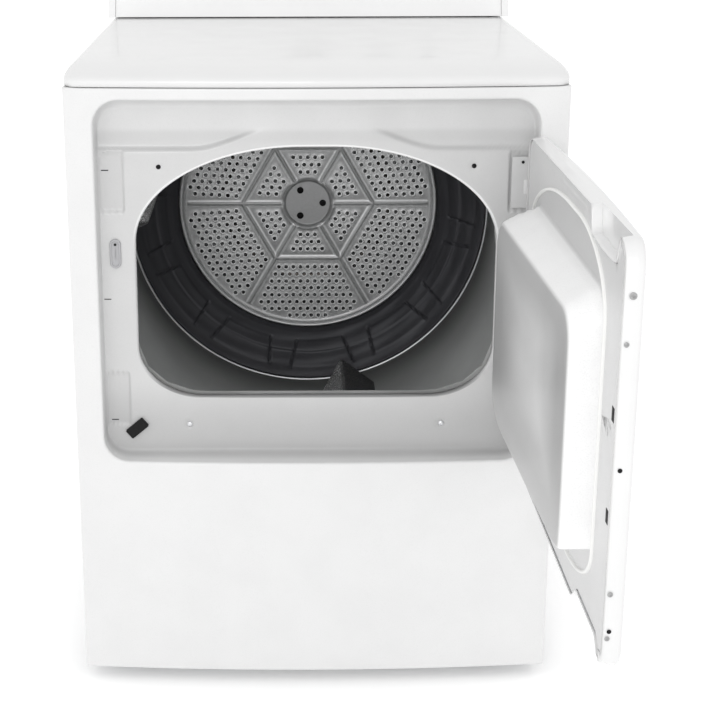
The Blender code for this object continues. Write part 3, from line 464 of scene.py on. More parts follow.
def finish_of(name, colour, second=None, speck=None, roughness=0.4, rough_spread=0.08, metallic=0.0, coat=0.0,
              coat_roughness=0.1, patch=18.0, speck_size=900.0, speck_share=0.0, grain=900.0, relief=0.00002,
              pattern="mottle", cells=160.0, specular=0.5, toned=False):
    """A finish: its two slow colours and specks, an uneven roughness and a fine relief."""
    if name in bpy.data.materials:
        return bpy.data.materials[name]
    made = bpy.data.materials.new(name)
    made.use_nodes = True
    tree = made.node_tree
    shader = tree.nodes["Principled BSDF"]
    second = second or tuple(c * 0.94 for c in colour)
    speck = speck or tuple(c * 0.5 for c in colour)
    look = tree.nodes.new("ShaderNodeGroup")
    if pattern == "spangle":
        look.node_tree = spangle_group()
        look.inputs["Cells"].default_value = cells
    else:
        look.node_tree = mottle_group()
        look.inputs["Speck"].default_value = (*speck, 1)
        look.inputs["Patch size"].default_value = patch
        look.inputs["Speck size"].default_value = speck_size
        look.inputs["Speck share"].default_value = speck_share
    look.inputs["Light"].default_value = (*colour, 1)
    look.inputs["Dark"].default_value = (*second, 1)
    colour_out = look.outputs["Color"]
    # The tone attribute multiplies the colour: painted light and shade, and on the drum's cone its stains as
    # well.
    if toned:
        held = add(tree, "ShaderNodeAttribute")
        held.attribute_name = "tone"
        colour_out = mix_colour(tree, 1.0, colour_out, held.outputs["Color"], "MULTIPLY")
    tree.links.new(colour_out, shader.inputs["Base Color"])
    rough = add(tree, "ShaderNodeMapRange", Value=look.outputs["Mask"], From_Min=0.3, From_Max=0.7,
                To_Min=roughness - rough_spread / 2, To_Max=roughness + rough_spread / 2)
    tree.links.new(rough.outputs[0], shader.inputs["Roughness"])
    shader.inputs["Metallic"].default_value = metallic
    shader.inputs["Coat Weight"].default_value = coat
    shader.inputs["Coat Roughness"].default_value = coat_roughness
    shader.inputs["Specular IOR Level"].default_value = specular
    height = tree.nodes.new("ShaderNodeGroup")
    height.node_tree = grain_group()
    height.inputs["Size"].default_value = grain
    bump = add(tree, "ShaderNodeBump", Height=height.outputs["Height"], Strength=1.0, Distance=relief)
    tree.links.new(bump.outputs[0], shader.inputs["Normal"])
    return made


def enamel():
    """Smooth glossy enamel of the lid, sides, door skin and console."""
    paint = bpy.context.scene.dryer_finish
    return finish_of("white_enamel_gloss", tuple(paint.enamel), roughness=0.26, coat=0.35,
                     coat_roughness=0.06, rough_spread=0.02, grain=420, relief=0.000006,
                     second=tuple(c * 0.985 for c in paint.enamel))


def pressed_enamel():
    """Duller enamel of the door's inner panel, with a fine orange peel; its tone paints light and shade on it.
    """
    paint = bpy.context.scene.dryer_finish
    return finish_of("white_enamel_pressed", tuple(paint.enamel), roughness=0.42, coat=0.12,
                     coat_roughness=0.2, grain=1100, relief=0.00004,
                     second=tuple(c * 0.965 for c in paint.enamel), speck_share=0.35,
                     speck=tuple(c * 0.86 for c in paint.enamel), speck_size=620, toned=True)


def zinc():
    """Bright galvanised steel with small spangle."""
    return finish_of("galvanised_spangle", (0.86, 0.865, 0.87), (0.74, 0.745, 0.75), roughness=0.50,
                     metallic=0.55, rough_spread=0.10, pattern="spangle", cells=220, grain=700,
                     relief=0.00002)


def screw_zinc():
    """Dull galvanised screw heads."""
    return finish_of("galvanised_screws", (0.40, 0.40, 0.40), (0.30, 0.30, 0.30), roughness=0.45,
                     metallic=0.30, rough_spread=0.15, patch=400, speck_share=0.2, speck_size=1500,
                     grain=1500, relief=0.00002)


def disc_zinc():
    """Galvanised steel of the perforated disc, with painted highlights on its hole lips and rib edges from its
    tone.
    """
    return finish_of("galvanised_disc", (0.93, 0.935, 0.94), (0.78, 0.785, 0.79), roughness=0.46,
                     metallic=0.55, rough_spread=0.10, pattern="spangle", cells=220, grain=700,
                     relief=0.00002, toned=True)


def sheet_zinc():
    """Galvanised sheet with large spangle."""
    return finish_of("galvanised_sheet", (0.62, 0.63, 0.64), (0.46, 0.47, 0.48), roughness=0.40,
                     metallic=0.9, rough_spread=0.16, pattern="spangle", cells=70, grain=500, relief=0.00002)


def bright_steel():
    """Ground steel."""
    return finish_of("bright_steel", (0.72, 0.73, 0.74), (0.62, 0.63, 0.64), roughness=0.24, metallic=1.0,
                     rough_spread=0.1, patch=60, grain=1500, relief=0.00001)


def dark_coat():
    """Dark stained coating of the drum's rear wall; its tone adds the stains, painted light on the wedges and
    painted shade in the creases.
    """
    return finish_of("dark_drum_coat", (0.190, 0.190, 0.191), (0.030, 0.030, 0.031), (0.20, 0.20, 0.20),
                     roughness=0.50, rough_spread=0.25, patch=30, speck_share=0.45, speck_size=420,
                     grain=120, relief=0.0006, toned=True)


def baffle_plastic():
    """Black plastic with pale specks; its tone paints one side of each baffle lighter, as light."""
    return finish_of("speckled_baffle", (0.055, 0.055, 0.056), (0.035, 0.035, 0.035), (0.30, 0.30, 0.30),
                     roughness=0.5, patch=60, speck_share=0.8, speck_size=520, grain=600, relief=0.0001,
                     toned=True)


def drum_coat():
    """Grey coating of the bulkhead."""
    return finish_of("grey_drum_coat", (0.52, 0.525, 0.52), (0.46, 0.465, 0.46), (0.4, 0.4, 0.4),
                     roughness=0.48, patch=10, speck_share=0.12, speck_size=900, grain=900, relief=0.00003)


def wall_coat():
    """Grey coating of the drum wall; its tone paints light near the front and shade deeper toward the back."""
    return finish_of("grey_drum_wall", tuple(bpy.context.scene.dryer_finish.drum), (0.48, 0.49, 0.485),
                     (0.4, 0.4, 0.4), roughness=0.48, patch=10, speck_share=0.12, speck_size=900, grain=900,
                     relief=0.00003, toned=True)


def black_plastic():
    """Black plastic."""
    return finish_of("black_plastic", (0.008, 0.008, 0.009), (0.005, 0.005, 0.005), (0.04, 0.04, 0.04),
                     roughness=0.6, specular=0.2, speck_share=0.3, speck_size=1500, grain=1600,
                     relief=0.00005)


def grey_plastic():
    """Mid-grey plastic."""
    return finish_of("grey_plastic", (0.50, 0.50, 0.51), (0.44, 0.44, 0.45), (0.30, 0.30, 0.30),
                     roughness=0.5, speck_share=0.3, speck_size=1100, grain=1400, relief=0.00006)


def pale_grey():
    """Satin paint of the cabinet's hinge leaves."""
    return finish_of("satin_hinge", (0.60, 0.60, 0.60), roughness=0.4, grain=1200, relief=0.00003)


def pale_plastic():
    """White plastic of knobs, caps and glides."""
    return finish_of("white_plastic", tuple(bpy.context.scene.dryer_finish.knobs), (0.74, 0.74, 0.73),
                     roughness=0.38, grain=1300, relief=0.00003)


def fascia_plastic():
    """Satin white of the control fascia."""
    return finish_of("fascia_satin", (0.88, 0.88, 0.88), (0.86, 0.86, 0.86), roughness=0.35, grain=1600,
                     relief=0.00002, patch=8)


def mark_paint():
    """Dark printed marks."""
    return finish_of("dial_mark", (0.10, 0.11, 0.12), (0.08, 0.09, 0.10), roughness=0.6, grain=1200)


def felt():
    """Wool felt of the drum seal."""
    return finish_of("felt", (0.56, 0.54, 0.50), (0.44, 0.42, 0.39), (0.3, 0.29, 0.27), roughness=0.95,
                     patch=300, speck_share=0.5, speck_size=1600, grain=1500, relief=0.0004)


def white_rubber():
    """Pale rubber of the door seal."""
    return finish_of("white_rubber", (0.60, 0.60, 0.595), (0.57, 0.57, 0.565), roughness=0.55, grain=1400,
                     relief=0.00004)


def belt_rubber():
    """Black rubber of the drive belt."""
    return finish_of("belt_rubber", (0.02, 0.02, 0.02), (0.013, 0.013, 0.013), (0.06, 0.06, 0.06),
                     roughness=0.75, speck_share=0.4, speck_size=1800, grain=1700, relief=0.00008)


def motor_paint():
    """Dark paint of the motor."""
    return finish_of("motor_enamel", (0.10, 0.10, 0.11), (0.07, 0.07, 0.08), (0.2, 0.2, 0.2),
                     roughness=0.45, speck_share=0.2, grain=900, relief=0.00005, metallic=0.2)


def bronze():
    """Sintered bronze of the bearing."""
    return finish_of("sintered_bronze", (0.50, 0.33, 0.18), (0.36, 0.24, 0.14), (0.18, 0.12, 0.08),
                     roughness=0.42, metallic=1.0, patch=120, speck_share=0.5, speck_size=1500)


def heater_metal():
    """Scaled alloy of the heating element."""
    return finish_of("heater_alloy", (0.34, 0.31, 0.29), (0.20, 0.18, 0.18), (0.12, 0.08, 0.06),
                     roughness=0.5, metallic=1.0, patch=80, speck_share=0.3)


# ---------------------------------------------------------------- front panel


def pocket(x, z, x0, x1, z0, z1, edge):
    """1 inside a rectangle, falling smoothly to 0 over `edge` outside it."""
    across = smooth(x0 - edge, x0, x) * (1 - smooth(x1, x1 + edge, x))
    return across * smooth(z0 - edge, z0, z) * (1 - smooth(z1, z1 + edge, z))


def fold_height(wide):
    """Height of the upper corner pockets' lower edge, which falls away from the middle beside the arch."""
    return 0.8125 - 0.0275 * smooth(0.070, 0.172, wide) ** 0.75


def floor_relief(x, z):
    """How much deeper the recess floor is than BED_DEPTH.

    It is the sum of the two upper corner pockets, which fade out toward the middle, the four hinge
    pockets, and the dimples round the four screws.
    """
    wide = np.abs(x)
    lower_edge = fold_height(wide)
    corners = 0.0045 * smooth(lower_edge - 0.005, lower_edge + 0.005, z) * smooth(0.055, 0.125, wide)
    hinges = sum(0.0030 * pocket(wide, z, *rectangle, 0.0020) for rectangle in HINGE_POCKETS)
    dimple = 0.0016 * (1 - smooth(0.0045, 0.0085, np.hypot(wide - 0.182, z - 0.380)))
    boss = 0.0008 * (1 - smooth(0.0045, 0.0075, np.hypot(wide - 0.218, z - 0.760)))
    return corners + hinges * (corners < 0.002) + dimple + boss


def front_panel_surface():
    """The panel as loops round the opening, from its turned-in lip outward to the cabinet's edges.

    Each loop is a blend of two outlines, and its depth is the bow, the recess or the way between them:
    the wall's foot is a quarter circle of run sin(a) and rise 1 - cos(a), its head a rounded lip.
    """
    outer = np.array([(-HALF, 0), (HALF, 0), (HALF, PANEL_TOP), (-HALF, PANEL_TOP)])
    edge_inset = 0.0025
    inner_edge = outer + edge_inset * np.array([(1, 1), (-1, 1), (-1, -1), (1, -1)])
    angles = spread(600, outer, EYE)
    lip = {grow: reach(opening(grow), angles, EYE) for grow in (0.0, 0.004)}
    bed = reach(rounded(*BED), angles, EYE)
    rim = reach(rounded(*RIM), angles, EYE)
    x0, x1, z0, z1, radius = RIM
    grown = rounded(x0 - LIP_GROW, x1 + LIP_GROW, z0 - LIP_GROW, z1 + LIP_GROW, radius + LIP_GROW)
    wide = reach(grown, angles, EYE)
    inside = reach(inner_edge, angles, EYE)
    border = reach(outer, angles, EYE)

    def floor(x, z):
        return BED_DEPTH + floor_relief(x, z)

    rows = [(lip[0.0], lambda x, z: BED_DEPTH + 0.008 + 0 * x)]
    for turn in np.radians(np.linspace(0, 90, 6)):
        share = 1 - math.cos(turn)
        rows += between(lip[0.0], lip[0.004], [share],
                        lambda x, z, s=math.sin(turn): BED_DEPTH + 0.004 * (1 - s) + floor_relief(x, z) * s)
    rows += between(lip[0.004], bed, np.linspace(0, 1, 48)[1:], floor)
    for turn in np.radians(np.linspace(0, 78, 11)[1:]):
        run, rise = math.sin(turn), 1 - math.cos(turn)
        rows += between(bed, rim, [run],
                        lambda x, z, r=rise: floor(x, z) * (1 - r) + (bow(x) + 0.004) * r)
    for turn in np.radians(np.linspace(0, 90, 7)):
        rows += between(rim, wide, [1 - math.cos(turn)],
                        lambda x, z, s=math.sin(turn): bow(x) + 0.004 * (1 - s))
    rows += between(wide, inside, np.linspace(0, 1, 9)[1:], lambda x, z: bow(x))
    for turn in np.radians(np.linspace(0, 90, 6)[1:]):
        rows += between(inside, border, [math.sin(turn)],
                        lambda x, z, c=math.cos(turn): bow(x) + edge_inset * (1 - c))
    rows.append((border, lambda x, z: 0.012 + 0 * x))
    return grid(star_rows(rows, angles, EYE), around=True)


def screw_surface(x, z, depth, radius, axis=(0, -1, 0)):
    """A domed screw head with a cross recess: a turned cap whose middle dips."""
    profile = radius * np.array([(1, 0), (0.98, 0.22), (0.80, 0.42), (0.45, 0.52), (0.42, 0.20), (0, 0.16)])
    return turned(profile, 24, (x, FRONT + depth, z), axis,
                  ripple=lambda a, row: np.where(row > 2, 1 - 0.35 * (np.cos(4 * a) < 0), 1.0))


def front_painted_shading(points):
    """Painted light and shade on the front, as a factor on its enamel: 1 outside, and less inside the recess.

    The recess is painted greyer as shade, more toward its foot and its right side, in the fold and the hinge
    pockets, and lighter along its top. The opening's rolled lip has a painted highlight at its head and painted
    shade at its foot.
    """
    x, depth, z = points[:, 0], points[:, 1] - FRONT, points[:, 2]
    inside = smooth(bow(x) + 0.007, 0.0195, depth)
    wide = np.abs(x)
    # Painted shade: a dark band along the fold's step.
    band = np.exp(-((z - fold_height(wide)) / 0.0035) ** 2)
    band = band * smooth(0.070, 0.110, wide) * smooth(0.304, 0.296, wide)
    hinges = sum(pocket(wide, z, *rectangle, 0.0020) for rectangle in HINGE_POCKETS)
    # Painted shade: darker toward the recess's foot, toward its right side by the door, and in the hinge
    # pockets; painted light along its top.
    level = 0.80 - 0.17 * smooth(0.46, 0.37, z) - 0.06 * smooth(0.10, 0.30, x)
    level += 0.10 * smooth(0.806, 0.815, z) - 0.03 * smooth(0.79, 0.80, z) - 0.14 * band - 0.03 * hinges
    distance = np.hypot(x - EYE[0], z - EYE[1]) - reach(opening(0.0), np.arctan2(z - EYE[1], x - EYE[0]), EYE)
    # Painted highlight on the rolled lip's head and painted shade at its foot.
    rolled = smooth(0.0042, 0.0030, distance)
    level += rolled * (0.42 * smooth(0.62, 0.72, z) - 0.42 * smooth(0.47, 0.43, z))
    return 1 - inside * (1 - level)


class DRYER_OT_front_panel(bpy.types.Operator):
    """Bowed front panel with its recess, pockets, rolled opening lip and screws"""

    bl_idname = "dryer.front_panel"
    bl_label = "Front panel"

    def execute(self, context):
        surface = front_panel_surface()
        # Its tone paints shade into the recess, and light and shade on the opening's lip.
        piece("front_panel_skin", surface, "cabinet", enamel_mix(), ["front_panel"], sheet=0.0009,
              toward=(0, -1, 0), sharp=60, tone=front_painted_shading(surface[0]))
        for name, side, height, depth, radius, finish in (
            ("floor_screws_dark", 0.218, 0.760, 0.0012, 0.0034, black_plastic()),
            ("floor_screws_bright", 0.182, 0.380, 0.0016, 0.0042, bright_steel()),
        ):
            screws = [screw_surface(x, height, BED_DEPTH + depth, radius) for x in (-side, side)]
            piece(name, joined(screws), "cabinet", finish)
        cap = [(0.0, 0.0), (0.0021, 0.0), (0.0021, -0.0010), (0.0, -0.0012)]
        pins = [turned(cap, 24, (0.2850, FRONT + 0.0203, z)) for z in (0.7656, 0.3915)]
        piece("hinge_pins_dark", joined(pins), "cabinet", black_plastic())
        # Black boxes stand for the painted shade inside the floor's slits.
        slits = [
            box_surface((x - 0.0050, FRONT + depth, z - half), (x + 0.0050, FRONT + depth + 0.0008, z + half))
            for x, z, depth, half in (
                (-0.2942, 0.5699, BED_DEPTH - 0.0002, 0.0006), (-0.2925, 0.7551, BED_DEPTH + 0.0028, 0.0007),
                (-0.2898, 0.3871, BED_DEPTH + 0.0028, 0.0007),
            )
        ]
        piece("floor_slits", joined(slits), "cabinet", black_plastic())
        return {"FINISHED"}


def enamel_mix():
    """Enamel of the front, greyer where its tone paints shade into the recess."""
    paint = bpy.context.scene.dryer_finish
    return finish_of("white_enamel_front", tuple(paint.enamel), roughness=0.36, coat=0.2,
                     coat_roughness=0.12, grain=1000, relief=0.00002,
                     second=tuple(c * 0.975 for c in paint.enamel), speck_share=0.22,
                     speck=tuple(c * 0.88 for c in paint.enamel), speck_size=620, toned=True)


# ---------------------------------------------------------------- lid and cabinet


def lid_surface():
    """The lid as loops round its centre: a short apron, then a roll of run 1 - cos(a) and rise sin(a)."""
    back = -FRONT
    angles = spread(520, np.array([(-HALF, FRONT), (HALF, FRONT), (HALF, back), (-HALF, back)]), (0, 0))
    edge_z, roll_side, roll_front = 0.882, 0.018, 0.110
    loops = []

    def loop(side, front, z, shrink=1.0):
        outline = rounded(-HALF + side, HALF - side, FRONT + front, back - side * 0.3, 0.020)
        distance = reach(outline, angles, (0, 0)) * shrink
        x, y = distance * np.cos(angles), distance * np.sin(angles)
        x = np.clip(x, -HALF, HALF)
        hollow = smooth(-0.10, -0.30, y) * shrink
        return np.stack([x, y + bow(x) * hollow, np.full_like(x, z)], 1)

    loops.append(loop(0, 0, PANEL_TOP + 0.001))
    loops.append(loop(0, 0, edge_z - 0.001))
    for turn in np.radians(np.linspace(0, 90, 26)):
        run = 1 - math.cos(turn)
        loops.append(loop(roll_side * run, roll_front * run, edge_z + (LID_TOP - edge_z) * math.sin(turn)))
    for shrink in (0.96, 0.85, 0.65, 0.4, 0.15, 0.0):
        loops.append(loop(roll_side, roll_front, LID_TOP, shrink))
    return grid(np.array(loops), around=True)


def side_surface(side):
    """A side panel: a flat sheet with turned flanges and a shallow raised field, inside the solid's own box."""
    low, high = (np.array(v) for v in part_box("left_side_panel" if side < 0 else "right_side_panel"))
    y0, y1, z0, z1 = low[1], high[1], low[2], high[2]
    flange = 0.018
    turn_in = np.linspace(HALF - flange, HALF, 6)
    path_x = np.concatenate([turn_in, np.full(180, HALF), turn_in[::-1]])
    path_y = np.concatenate([np.full(6, y0), np.linspace(y0, y1, 180), np.full(6, y1)])
    y, z = np.meshgrid(path_y, np.linspace(z0, z1, 220))
    field = pocket(y, z, y0 + 0.060, y1 - 0.060, z0 + 0.075, z1 - 0.075, 0.010)
    groove = pocket(y, z, y0 + 0.055, y1 - 0.055, z0 + 0.070, z1 - 0.070, 0.010)
    return grid(np.stack([side * (path_x - 0.0016 * (groove - 0.6 * field)), y, z], -1))


class DRYER_OT_cabinet(bpy.types.Operator):
    """Lid, side panels and the finish of the base pan and rear"""

    bl_idname = "dryer.cabinet"
    bl_label = "Cabinet"

    def execute(self, context):
        piece("lid_skin", lid_surface(), "cabinet", enamel(), ["top_panel"], sheet=0.0010, toward=(0, 0, 1),
              sharp=50)
        for side, name in ((-1, "left_side_panel"), (1, "right_side_panel")):
            piece(f"{name}_skin", side_surface(side), "cabinet", enamel(), [name], sheet=0.0008,
                  toward=(side, 0, 0), sharp=35)
        for name in ("base_pan", "rear_panel", "terminal_cover"):
            dress(name, sheet_zinc())
        dress("terminal_block", black_plastic())
        foot = [
            (0.0, -0.020), (0.015, -0.020), (0.0172, -0.0196), (0.0187, -0.0180), (0.0190, -0.0150),
            (0.0183, -0.0132), (0.0130, -0.0108), (0.0120, -0.0095), (0.0120, -0.0008), (0.004, -0.0005),
            (0.004, 0.028), (0.0, 0.028),
        ]

        def hexagon(angle, row):
            return np.where((row > 6) & (row < 9), 1 - 0.10 * np.abs(np.sin(3 * angle)), 1.0)

        for spot in ("front_left", "front_right", "rear_left", "rear_right"):
            low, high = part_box(f"foot_{spot}")
            at = ((low.x + high.x) / 2, (low.y + high.y) / 2, 0)
            surface = turned(foot, 48, at, (0, 0, 1), ripple=hexagon)
            piece(f"foot_{spot}_pad", surface, f"{spot}_leveller", black_plastic(), [f"foot_{spot}"])
        return {"FINISHED"}


def dress(name, material):
    """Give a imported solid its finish."""
    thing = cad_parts[name]
    if not thing.material_slots:
        thing.data.materials.append(material)
    for held in thing.material_slots:
        held.material = material


# ---------------------------------------------------------------- console


def fascia_place():
    """The point on the fascia at the controls' height, its outward normal and its upward direction."""
    run = Vector((0, FASCIA_HEAD[0] - FASCIA_FOOT[0], FASCIA_HEAD[1] - FASCIA_FOOT[1]))
    share = CONTROL_RISE / run.z
    normal = Vector((0, -run.z, run.y)).normalized()
    foot = Vector((0, FRONT + FASCIA_FOOT[0] + run.y * share, FASCIA_FOOT[1] + CONTROL_RISE))
    return foot, normal, run.normalized()


def tick_surface(middle, upward, normal, angle, near, far, width):
    """One raised tick on the fascia, a thin box along a radius of a dial."""
    right = Vector((1, 0, 0))
    along = right * math.sin(angle) + upward * math.cos(angle)
    across = right * math.cos(angle) - upward * math.sin(angle)
    lows = [middle + along * r + across * w + normal * h
            for h in (0.0001, 0.0004) for r in (near, far) for w in (-width / 2, width / 2)]
    return np.array(lows), BOX_QUADS


def knob_surface(base, normal, radius, tall):
    """A knob turned from a wide skirt up to a fluted grip: thirty waves run round the grip's rows."""
    profile = [
        (0.0, -0.008), (0.004, -0.008), (0.004, 0.001), (radius * 0.97, 0.001), (radius, 0.0016),
        (radius, 0.0045), (radius * 0.985, 0.0056), (radius * 0.86, 0.0078), (radius * 0.83, 0.0088),
        (radius * 0.80, tall * 0.6), (radius * 0.775, tall - 0.002), (radius * 0.75, tall - 0.0006),
        (radius * 0.71, tall), (radius * 0.60, tall - 0.0003), (radius * 0.3, tall - 0.0008),
        (0.0, tall - 0.001),
    ]

    def flutes(angle, row):
        return np.where((row > 7) & (row < 12), 1 - 0.022 * (0.5 + 0.5 * np.cos(30 * angle)), 1.0)

    return turned(profile, 180, base, tuple(normal), ripple=flutes)


class DRYER_OT_console(bpy.types.Operator):
    """Rear console: housing, fascia, caps, knobs, start button and plain dial ticks"""

    bl_idname = "dryer.console"
    bl_label = "Console"

    def execute(self, context):
        dress("console_housing", enamel())
        dress("console_fascia", fascia_plastic())
        for side in ("left", "right"):
            dress(f"console_{side}_cap", pale_plastic())
        dress("cycle_timer", grey_plastic())
        foot, normal, upward = fascia_place()
        bodies = {"cycle_knob": "cycle_dial", "temperature_knob": "temperature_dial"}
        for name, (x, radius, tall) in KNOBS.items():
            base = foot + Vector((x, 0, 0))
            grip = knob_surface(base, normal, radius, tall)
            piece(f"{name}_grip", grip, bodies[name], pale_plastic(), [name], sharp=60)
            top = base + normal * (tall - 0.0005)
            pointer = tick_surface(top, upward, normal, 0.0, radius * 0.25, radius * 0.68, 0.0022)
            piece(f"{name}_pointer", pointer, bodies[name], mark_paint())
            sweep, count = (300, 25) if name == "cycle_knob" else (120, 5)
            ticks = []
            for k, angle in enumerate(np.radians(np.linspace(-sweep / 2, sweep / 2, count))):
                far = radius + (0.0095 if k % 4 == 0 else 0.007)
                ticks.append(tick_surface(base, upward, normal, angle, radius + 0.004, far, 0.0009))
            piece(f"{name}_ticks", joined(ticks), "cabinet", mark_paint())
        x, radius, tall = BUTTON
        base = foot + Vector((x, 0, 0))
        profile = [
            (0.0, -0.006), (radius, -0.006), (radius, tall - 0.0022), (radius - 0.0006, tall - 0.0008),
            (radius - 0.002, tall - 0.0001), (radius * 0.5, tall - 0.0006), (0.0, tall - 0.0010),
        ]
        cap = turned(profile, 64, base, tuple(normal))
        piece("start_button_cap", cap, "start", grey_plastic(), ["start_button"])
        collar = [(0.0014, 0.0001), (0.0046, 0.0001), (0.0040, 0.0016), (0.0018, 0.0018), (0.0014, 0.0001)]
        surface = turned(np.array(collar) + (radius, 0), 64, base, tuple(normal))
        piece("start_button_collar", surface, "cabinet", bright_steel())
        return {"FINISHED"}


# ---------------------------------------------------------------- door


def crown(x):
    """The door skin's bulge, matching the front's."""
    return DOOR_FACE - 0.0070 * (1 - ((x - DOOR_MIDDLE) / DOOR_HALF) ** 2)


def door_frame(inset, radius):
    """The door's outline drawn in by an inset, with rounded corners."""
    return rounded(DOOR_LEFT + inset, DOOR_RIGHT - inset, DOOR_LOW + inset, DOOR_HIGH - inset, radius)


def door_angles(count):
    """Directions from the door's middle, with those of its four corners among them."""
    corners = [(x, z) for z in (DOOR_LOW, DOOR_HIGH) for x in (DOOR_LEFT, DOOR_RIGHT)]
    return spread(count, np.array(corners), DOOR_CENTRE)


def grip_drop(x, z):
    """How far the finger grips pull the door's top edge down and its bottom edge up, from the edge's x."""
    top = smooth(-0.2560, -0.2370, x) * (1 - smooth(-0.1230, -0.1130, x))
    bottom = smooth(-0.2640, -0.2380, x) * (1 - smooth(-0.1440, -0.1100, x))
    sag = 0.031 + 0.003 * np.sin(np.clip((x + 0.2525) / 0.126, 0, 1) * math.pi)
    return np.where(z > EYE[1], top * sag, -0.020 * bottom)


def land_relief(x, z):
    """Relief of the door's inner land: a raised label field and a shallow step toward the free edge."""
    return 0.0008 * pocket(x, z, -0.0860, 0.0570, 0.7880, 0.7990, 0.0012) - 0.0012 * smooth(-0.2700, -0.2725, x)


def door_inner_surface():
    """The inner panel as loops from its turned edge, over the land, up the tub's wall and across its face."""
    centre = DOOR_CENTRE
    angles = door_angles(600)
    border = reach(door_frame(0.0034, 0.0226), angles, centre)
    inside = reach(door_frame(0.0056, 0.0206), angles, centre)
    root = np.minimum(reach(tub(0.0, -0.0035), angles, centre), reach(opening(-0.0035), angles, centre))
    loops = [(border, lambda x, z: LAND - 0.006 + 0 * x, 1.0)]
    for turn in np.radians(np.linspace(0, 90, 5)):
        loops.append((border + (inside - border) * (1 - math.cos(turn)),
                      lambda x, z, s=math.sin(turn): LAND - 0.0022 * (1 - s) + land_relief(x, z), 1.0))
    for share in np.linspace(0, 1, 50)[1:]:
        loops.append((inside + (root - inside) * share, lambda x, z: LAND + land_relief(x, z), 1.0 - share))
    steps = [
        (0.00, -0.0020, 0.0004), (0.00, -0.0008, 0.0014), (0.02, 0.0, 0.0035), (0.25, 0.0, 0.012),
        (0.50, 0.0, 0.021), (0.75, 0.0, 0.030), (0.90, 0.0, 0.0350), (0.97, 0.0006, 0.0372),
        (1.00, 0.0020, 0.0388), (1.00, 0.0042, 0.0397), (1.00, 0.0070, 0.0400),
    ]
    for share, inset, height in steps:
        clear = reach(opening(-0.0070 - inset), angles, centre)
        loops.append((np.minimum(reach(tub(share, inset), angles, centre), clear),
                      lambda x, z, h=height: LAND + h / TUB_DEPTH * tub_depth(x)))
    last = np.minimum(reach(tub(1.0, 0.0070), angles, centre), reach(opening(-0.0140), angles, centre))
    for shrink in (0.93, 0.8, 0.6, 0.4, 0.2, 0.0):
        loops.append((last * shrink, lambda x, z, s=shrink: LAND + tub_depth(x) - 0.0014 * (1 - s ** 2)))
    return grid(star_rows(loops, angles, centre), around=True)


def door_skin_surface():
    """The outer skin as loops from its skirt's free edge round the rolled front edge to the crowned middle."""
    centre = DOOR_CENTRE
    angles = door_angles(840)
    edge = reach(door_frame(0.0, 0.026), angles, centre)
    tucked = reach(door_frame(0.002, 0.024), angles, centre)
    turn_in = reach(door_frame(0.0120, 0.020), angles, centre)
    back = DOOR_BACK

    def skirt(y):
        return lambda x, z: y + 0 * x

    # The turned-in return lies only along the free edge; elsewhere it is folded flat onto the skirt.
    free = smooth(-0.2600, -0.2700, centre[0] + edge * np.cos(angles))
    returned = tucked + (turn_in - tucked) * free
    loops = [(returned, skirt(back), 1.0), (tucked - 0.0006, skirt(back), 1.0),
             (tucked, skirt(back - 0.0006), 1.0)]
    grip_wall = -0.002
    for y in np.linspace(back - 0.003, grip_wall, 6):
        loops.append((tucked + (edge - tucked) * (back - y) / (back - grip_wall), skirt(y), 1.0))
    for cut in (1.0, 0.5, 0.0):
        loops.append((edge, skirt(grip_wall - 0.0003 * (1 - cut)), cut))
    loops.append((edge, lambda x, z: crown(x) + 0.0045))
    inner = reach(door_frame(0.0045, 0.0235), angles, centre)
    for turn in np.radians(np.linspace(0, 90, 7)[1:]):
        loops += between(edge, inner, [1 - math.cos(turn)],
                         lambda x, z, s=math.sin(turn): crown(x) + 0.0045 * (1 - s))
    for share in np.linspace(0.05, 1.0, 24):
        loops.append((inner * (1 - share), lambda x, z: crown(x)))
    return grid(star_rows(loops, angles, centre), around=True)


def door_screw(depth, z, radius):
    """A screw head on the door's free edge, facing away from the hinges."""
    local, faces = screw_surface(0.0, 0.0, 0.0, radius, axis=(-1, 0, 0))
    return swung((local * (0.35, 1, 1) + np.array([DOOR_LEFT + 0.0002, depth, z]), faces))


def liner_painted_shading(points):
    """Painted light and shade on the inner panel, as a factor on its enamel: on its land, the tub's wall and
    the tub's face.
    """
    x, z = points[:, 0], points[:, 2]
    height = (points[:, 1] - FRONT - LAND) / tub_depth(x) * TUB_DEPTH
    face = smooth(0.0380, 0.0397, height)
    wall = smooth(0.0005, 0.0050, height) * (1 - face)
    ring = reach(seal_line(), np.arctan2(z - DOOR_CENTRE[1], x - DOOR_CENTRE[0]), DOOR_CENTRE)
    within = smooth(0.002, 0.0, np.hypot(x - DOOR_CENTRE[0], z - DOOR_CENTRE[1]) - ring)
    # Painted shade: the land is darker inside the seal's ring toward its top and lighter toward its foot;
    # painted light: the tub's wall is brighter, more so at its foot; painted shade: the tub's face is darker,
    # lighter toward its foot and top and darker toward the free edge.
    land = 0.86 - 0.09 * within * smooth(0.60, 0.70, z) + 0.04 * smooth(0.60, 0.45, z)
    side = 1.15 + 0.12 * smooth(0.48, 0.43, z)
    flat = 0.55 + 0.16 * smooth(0.52, 0.43, z) + 0.12 * smooth(0.60, 0.71, z) - 0.05 * smooth(0.0, -0.15, x)
    return land * (1 - wall - face) + side * wall + flat * face


def seal_surface():
    """The seal's bead: half an oval of the seal's width and height, carried along the seal's line."""
    angles = np.linspace(-math.pi, math.pi, 720, endpoint=False)
    middle = reach(seal_line(), angles, EYE)
    turn = np.linspace(0, math.pi, 9)[:, None]
    distance = middle + size_of("seal_width") / 2 * np.cos(turn)
    y = FRONT + LAND - 0.0004 + size_of("seal_height") * np.sin(turn) ** 0.7 + 0 * distance
    points = np.stack([EYE[0] + distance * np.cos(angles), y, EYE[1] + distance * np.sin(angles)], -1)
    return grid(points, around=True, along=True)


